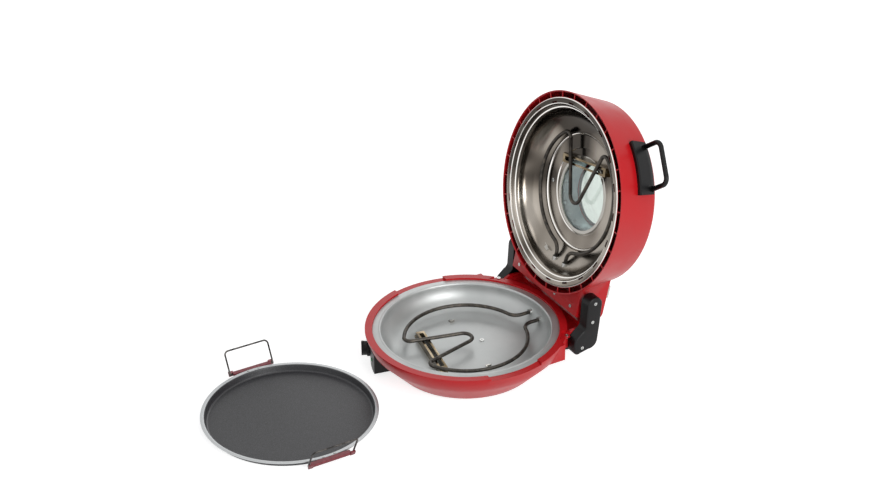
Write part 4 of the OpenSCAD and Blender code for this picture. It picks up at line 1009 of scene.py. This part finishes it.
class PIZZA_OT_tray(bpy.types.Operator):
    """Spins the baking tray with its rolled rim"""
    bl_idname = "pizza.tray"
    bl_label = "Baking tray"

    # In millimetres: how far inside the wall's radius the floor ends and the wall starts, the
    # height where it starts, the radii of the bends, and the rim's roll, from its outer edge
    floor_in, wall_in, wall_foot = 6, 2.6, 1.6
    floor_bend, rim_bend = 3, 1.2
    # The bend under the rim lies this far inside the wall's radius and under the rim
    rim_in, rim_under = 0.1, 0.2
    turns = 192
    rim_roll = ((-1.4, 0.0), (-0.5, -0.15), (0.0, -0.05))

    def execute(self, context):
        tray = chosen("tray")
        sheet = tray.sheet / MM
        rim_r, wall_r = tray.radius / MM, (tray.radius - tray.rim) / MM
        top = tray.height / MM - sheet
        roll = [Vector((rim_r + out, top + up)) for out, up in self.rim_roll]
        line = rounded([(0, 0), (wall_r / 2, 0), (wall_r - self.floor_in, 0, self.floor_bend),
                        (wall_r - self.wall_in, self.wall_foot, self.floor_bend),
                        (wall_r - self.rim_in, top - self.rim_under, self.rim_bend), roll[0]])
        piece = lathe("baking_tray_spun", thickened(line + roll[1:], sheet), self.turns)
        placed(piece, Matrix.Translation((0, TRAY_MIDDLE_Y, 0)))
        smooth(piece, MOULDED)
        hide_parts("baking_tray")
        dressed(piece, "tray_coat", "tray")
        return {"FINISHED"}


class PIZZA_OT_marks(bpy.types.Operator):
    """Prints the dial's pointer and the ticks round it"""
    bl_idname = "pizza.marks"
    bl_label = "Dial marks"

    # How thick the printed paint is drawn
    film = 0.1 * MM

    def execute(self, context):
        marks = chosen("marks")
        joint = joint_named("dial_turn")
        out = Vector(joint["pos_m"])
        height, out.z = out.z, 0
        out.normalize()
        up = Vector((0, 0, 1))
        # The dial's frame: X to the right, Y up, Z out from the middle of the bowl
        turned = Matrix((up.cross(out), up, out)).transposed().to_4x4()
        dial = Matrix.Translation((0, 0, height)) @ turned
        ticks = []
        for i in range(marks.ticks):
            tick = self.bar("tick", marks.tick_width, marks.tick_length)
            angle = -math.radians(joint["range_deg"][1]) * i / (marks.ticks - 1)
            placed(tick, Matrix.Rotation(angle, 4, "Z")
                   @ Matrix.Translation((0, marks.tick_radius, marks.paint)))
            # The pod's face curves round the bowl
            for corner in tick.data.vertices:
                corner.co.z += math.sqrt(marks.face ** 2 - corner.co.x ** 2)
            ticks.append(placed(tick, dial))
        piece = joined(ticks)
        piece.name = "dial_ticks"
        dressed(piece, "pale_plastic", "base")
        pointer = self.bar("dial_pointer", marks.tick_width, marks.pointer_length)
        stand = marks.grip + marks.paint
        placed(pointer, dial @ Matrix.Translation((0, marks.pointer_radius, stand)))
        dressed(pointer, "pale_plastic", "dial")
        return {"FINISHED"}

    def bar(self, name, width, length):
        """A thin painted bar in the XY plane, with its middle at the origin."""
        bm = bmesh.new()
        bmesh.ops.create_cube(bm, size=1)
        return placed(made_of(bm, name), Matrix.Diagonal((width, length, self.film, 1)))


class PIZZA_PT_panel(bpy.types.Panel):
    """Lists the steps that dress the cooker"""
    bl_label = "Pizza maker"
    bl_idname = "PIZZA_PT_panel"
    bl_space_type = "VIEW_3D"
    bl_region_type = "UI"
    bl_category = "Pizza maker"

    def draw(self, context):
        for operator in OPERATORS:
            self.layout.operator(operator.bl_idname)
        for settings in GROUPS:
            group = getattr(context.scene, settings)
            box = self.layout.box()
            for name in group.__annotations__:
                box.prop(group, name)


# The steps in their order, and the scene's property for each group of settings
OPERATORS = (PIZZA_OT_stage, PIZZA_OT_finishes, PIZZA_OT_curved, PIZZA_OT_liners, PIZZA_OT_arms,
             PIZZA_OT_tray, PIZZA_OT_marks)
GROUPS = {"pizza_stage": StageSettings, "pizza_finish": FinishSettings,
          "pizza_liner": LinerSettings, "pizza_arms": ArmSettings, "pizza_tray": TraySettings,
          "pizza_marks": MarkSettings}


def register():
    for group in GROUPS.values():
        bpy.utils.register_class(group)
    for operator in OPERATORS:
        bpy.utils.register_class(operator)
    bpy.utils.register_class(PIZZA_PT_panel)
    for name, group in GROUPS.items():
        setattr(bpy.types.Scene, name, PointerProperty(type=group))


def unregister():
    for name in GROUPS:
        delattr(bpy.types.Scene, name)
    bpy.utils.unregister_class(PIZZA_PT_panel)
    for operator in reversed(OPERATORS):
        bpy.utils.unregister_class(operator)
    for group in reversed(list(GROUPS.values())):
        bpy.utils.unregister_class(group)


def main():
    register()
    for operator in OPERATORS:
        family, name = operator.bl_idname.split(".")
        getattr(getattr(bpy.ops, family), name)()


if __name__ == "__main__":
    main()
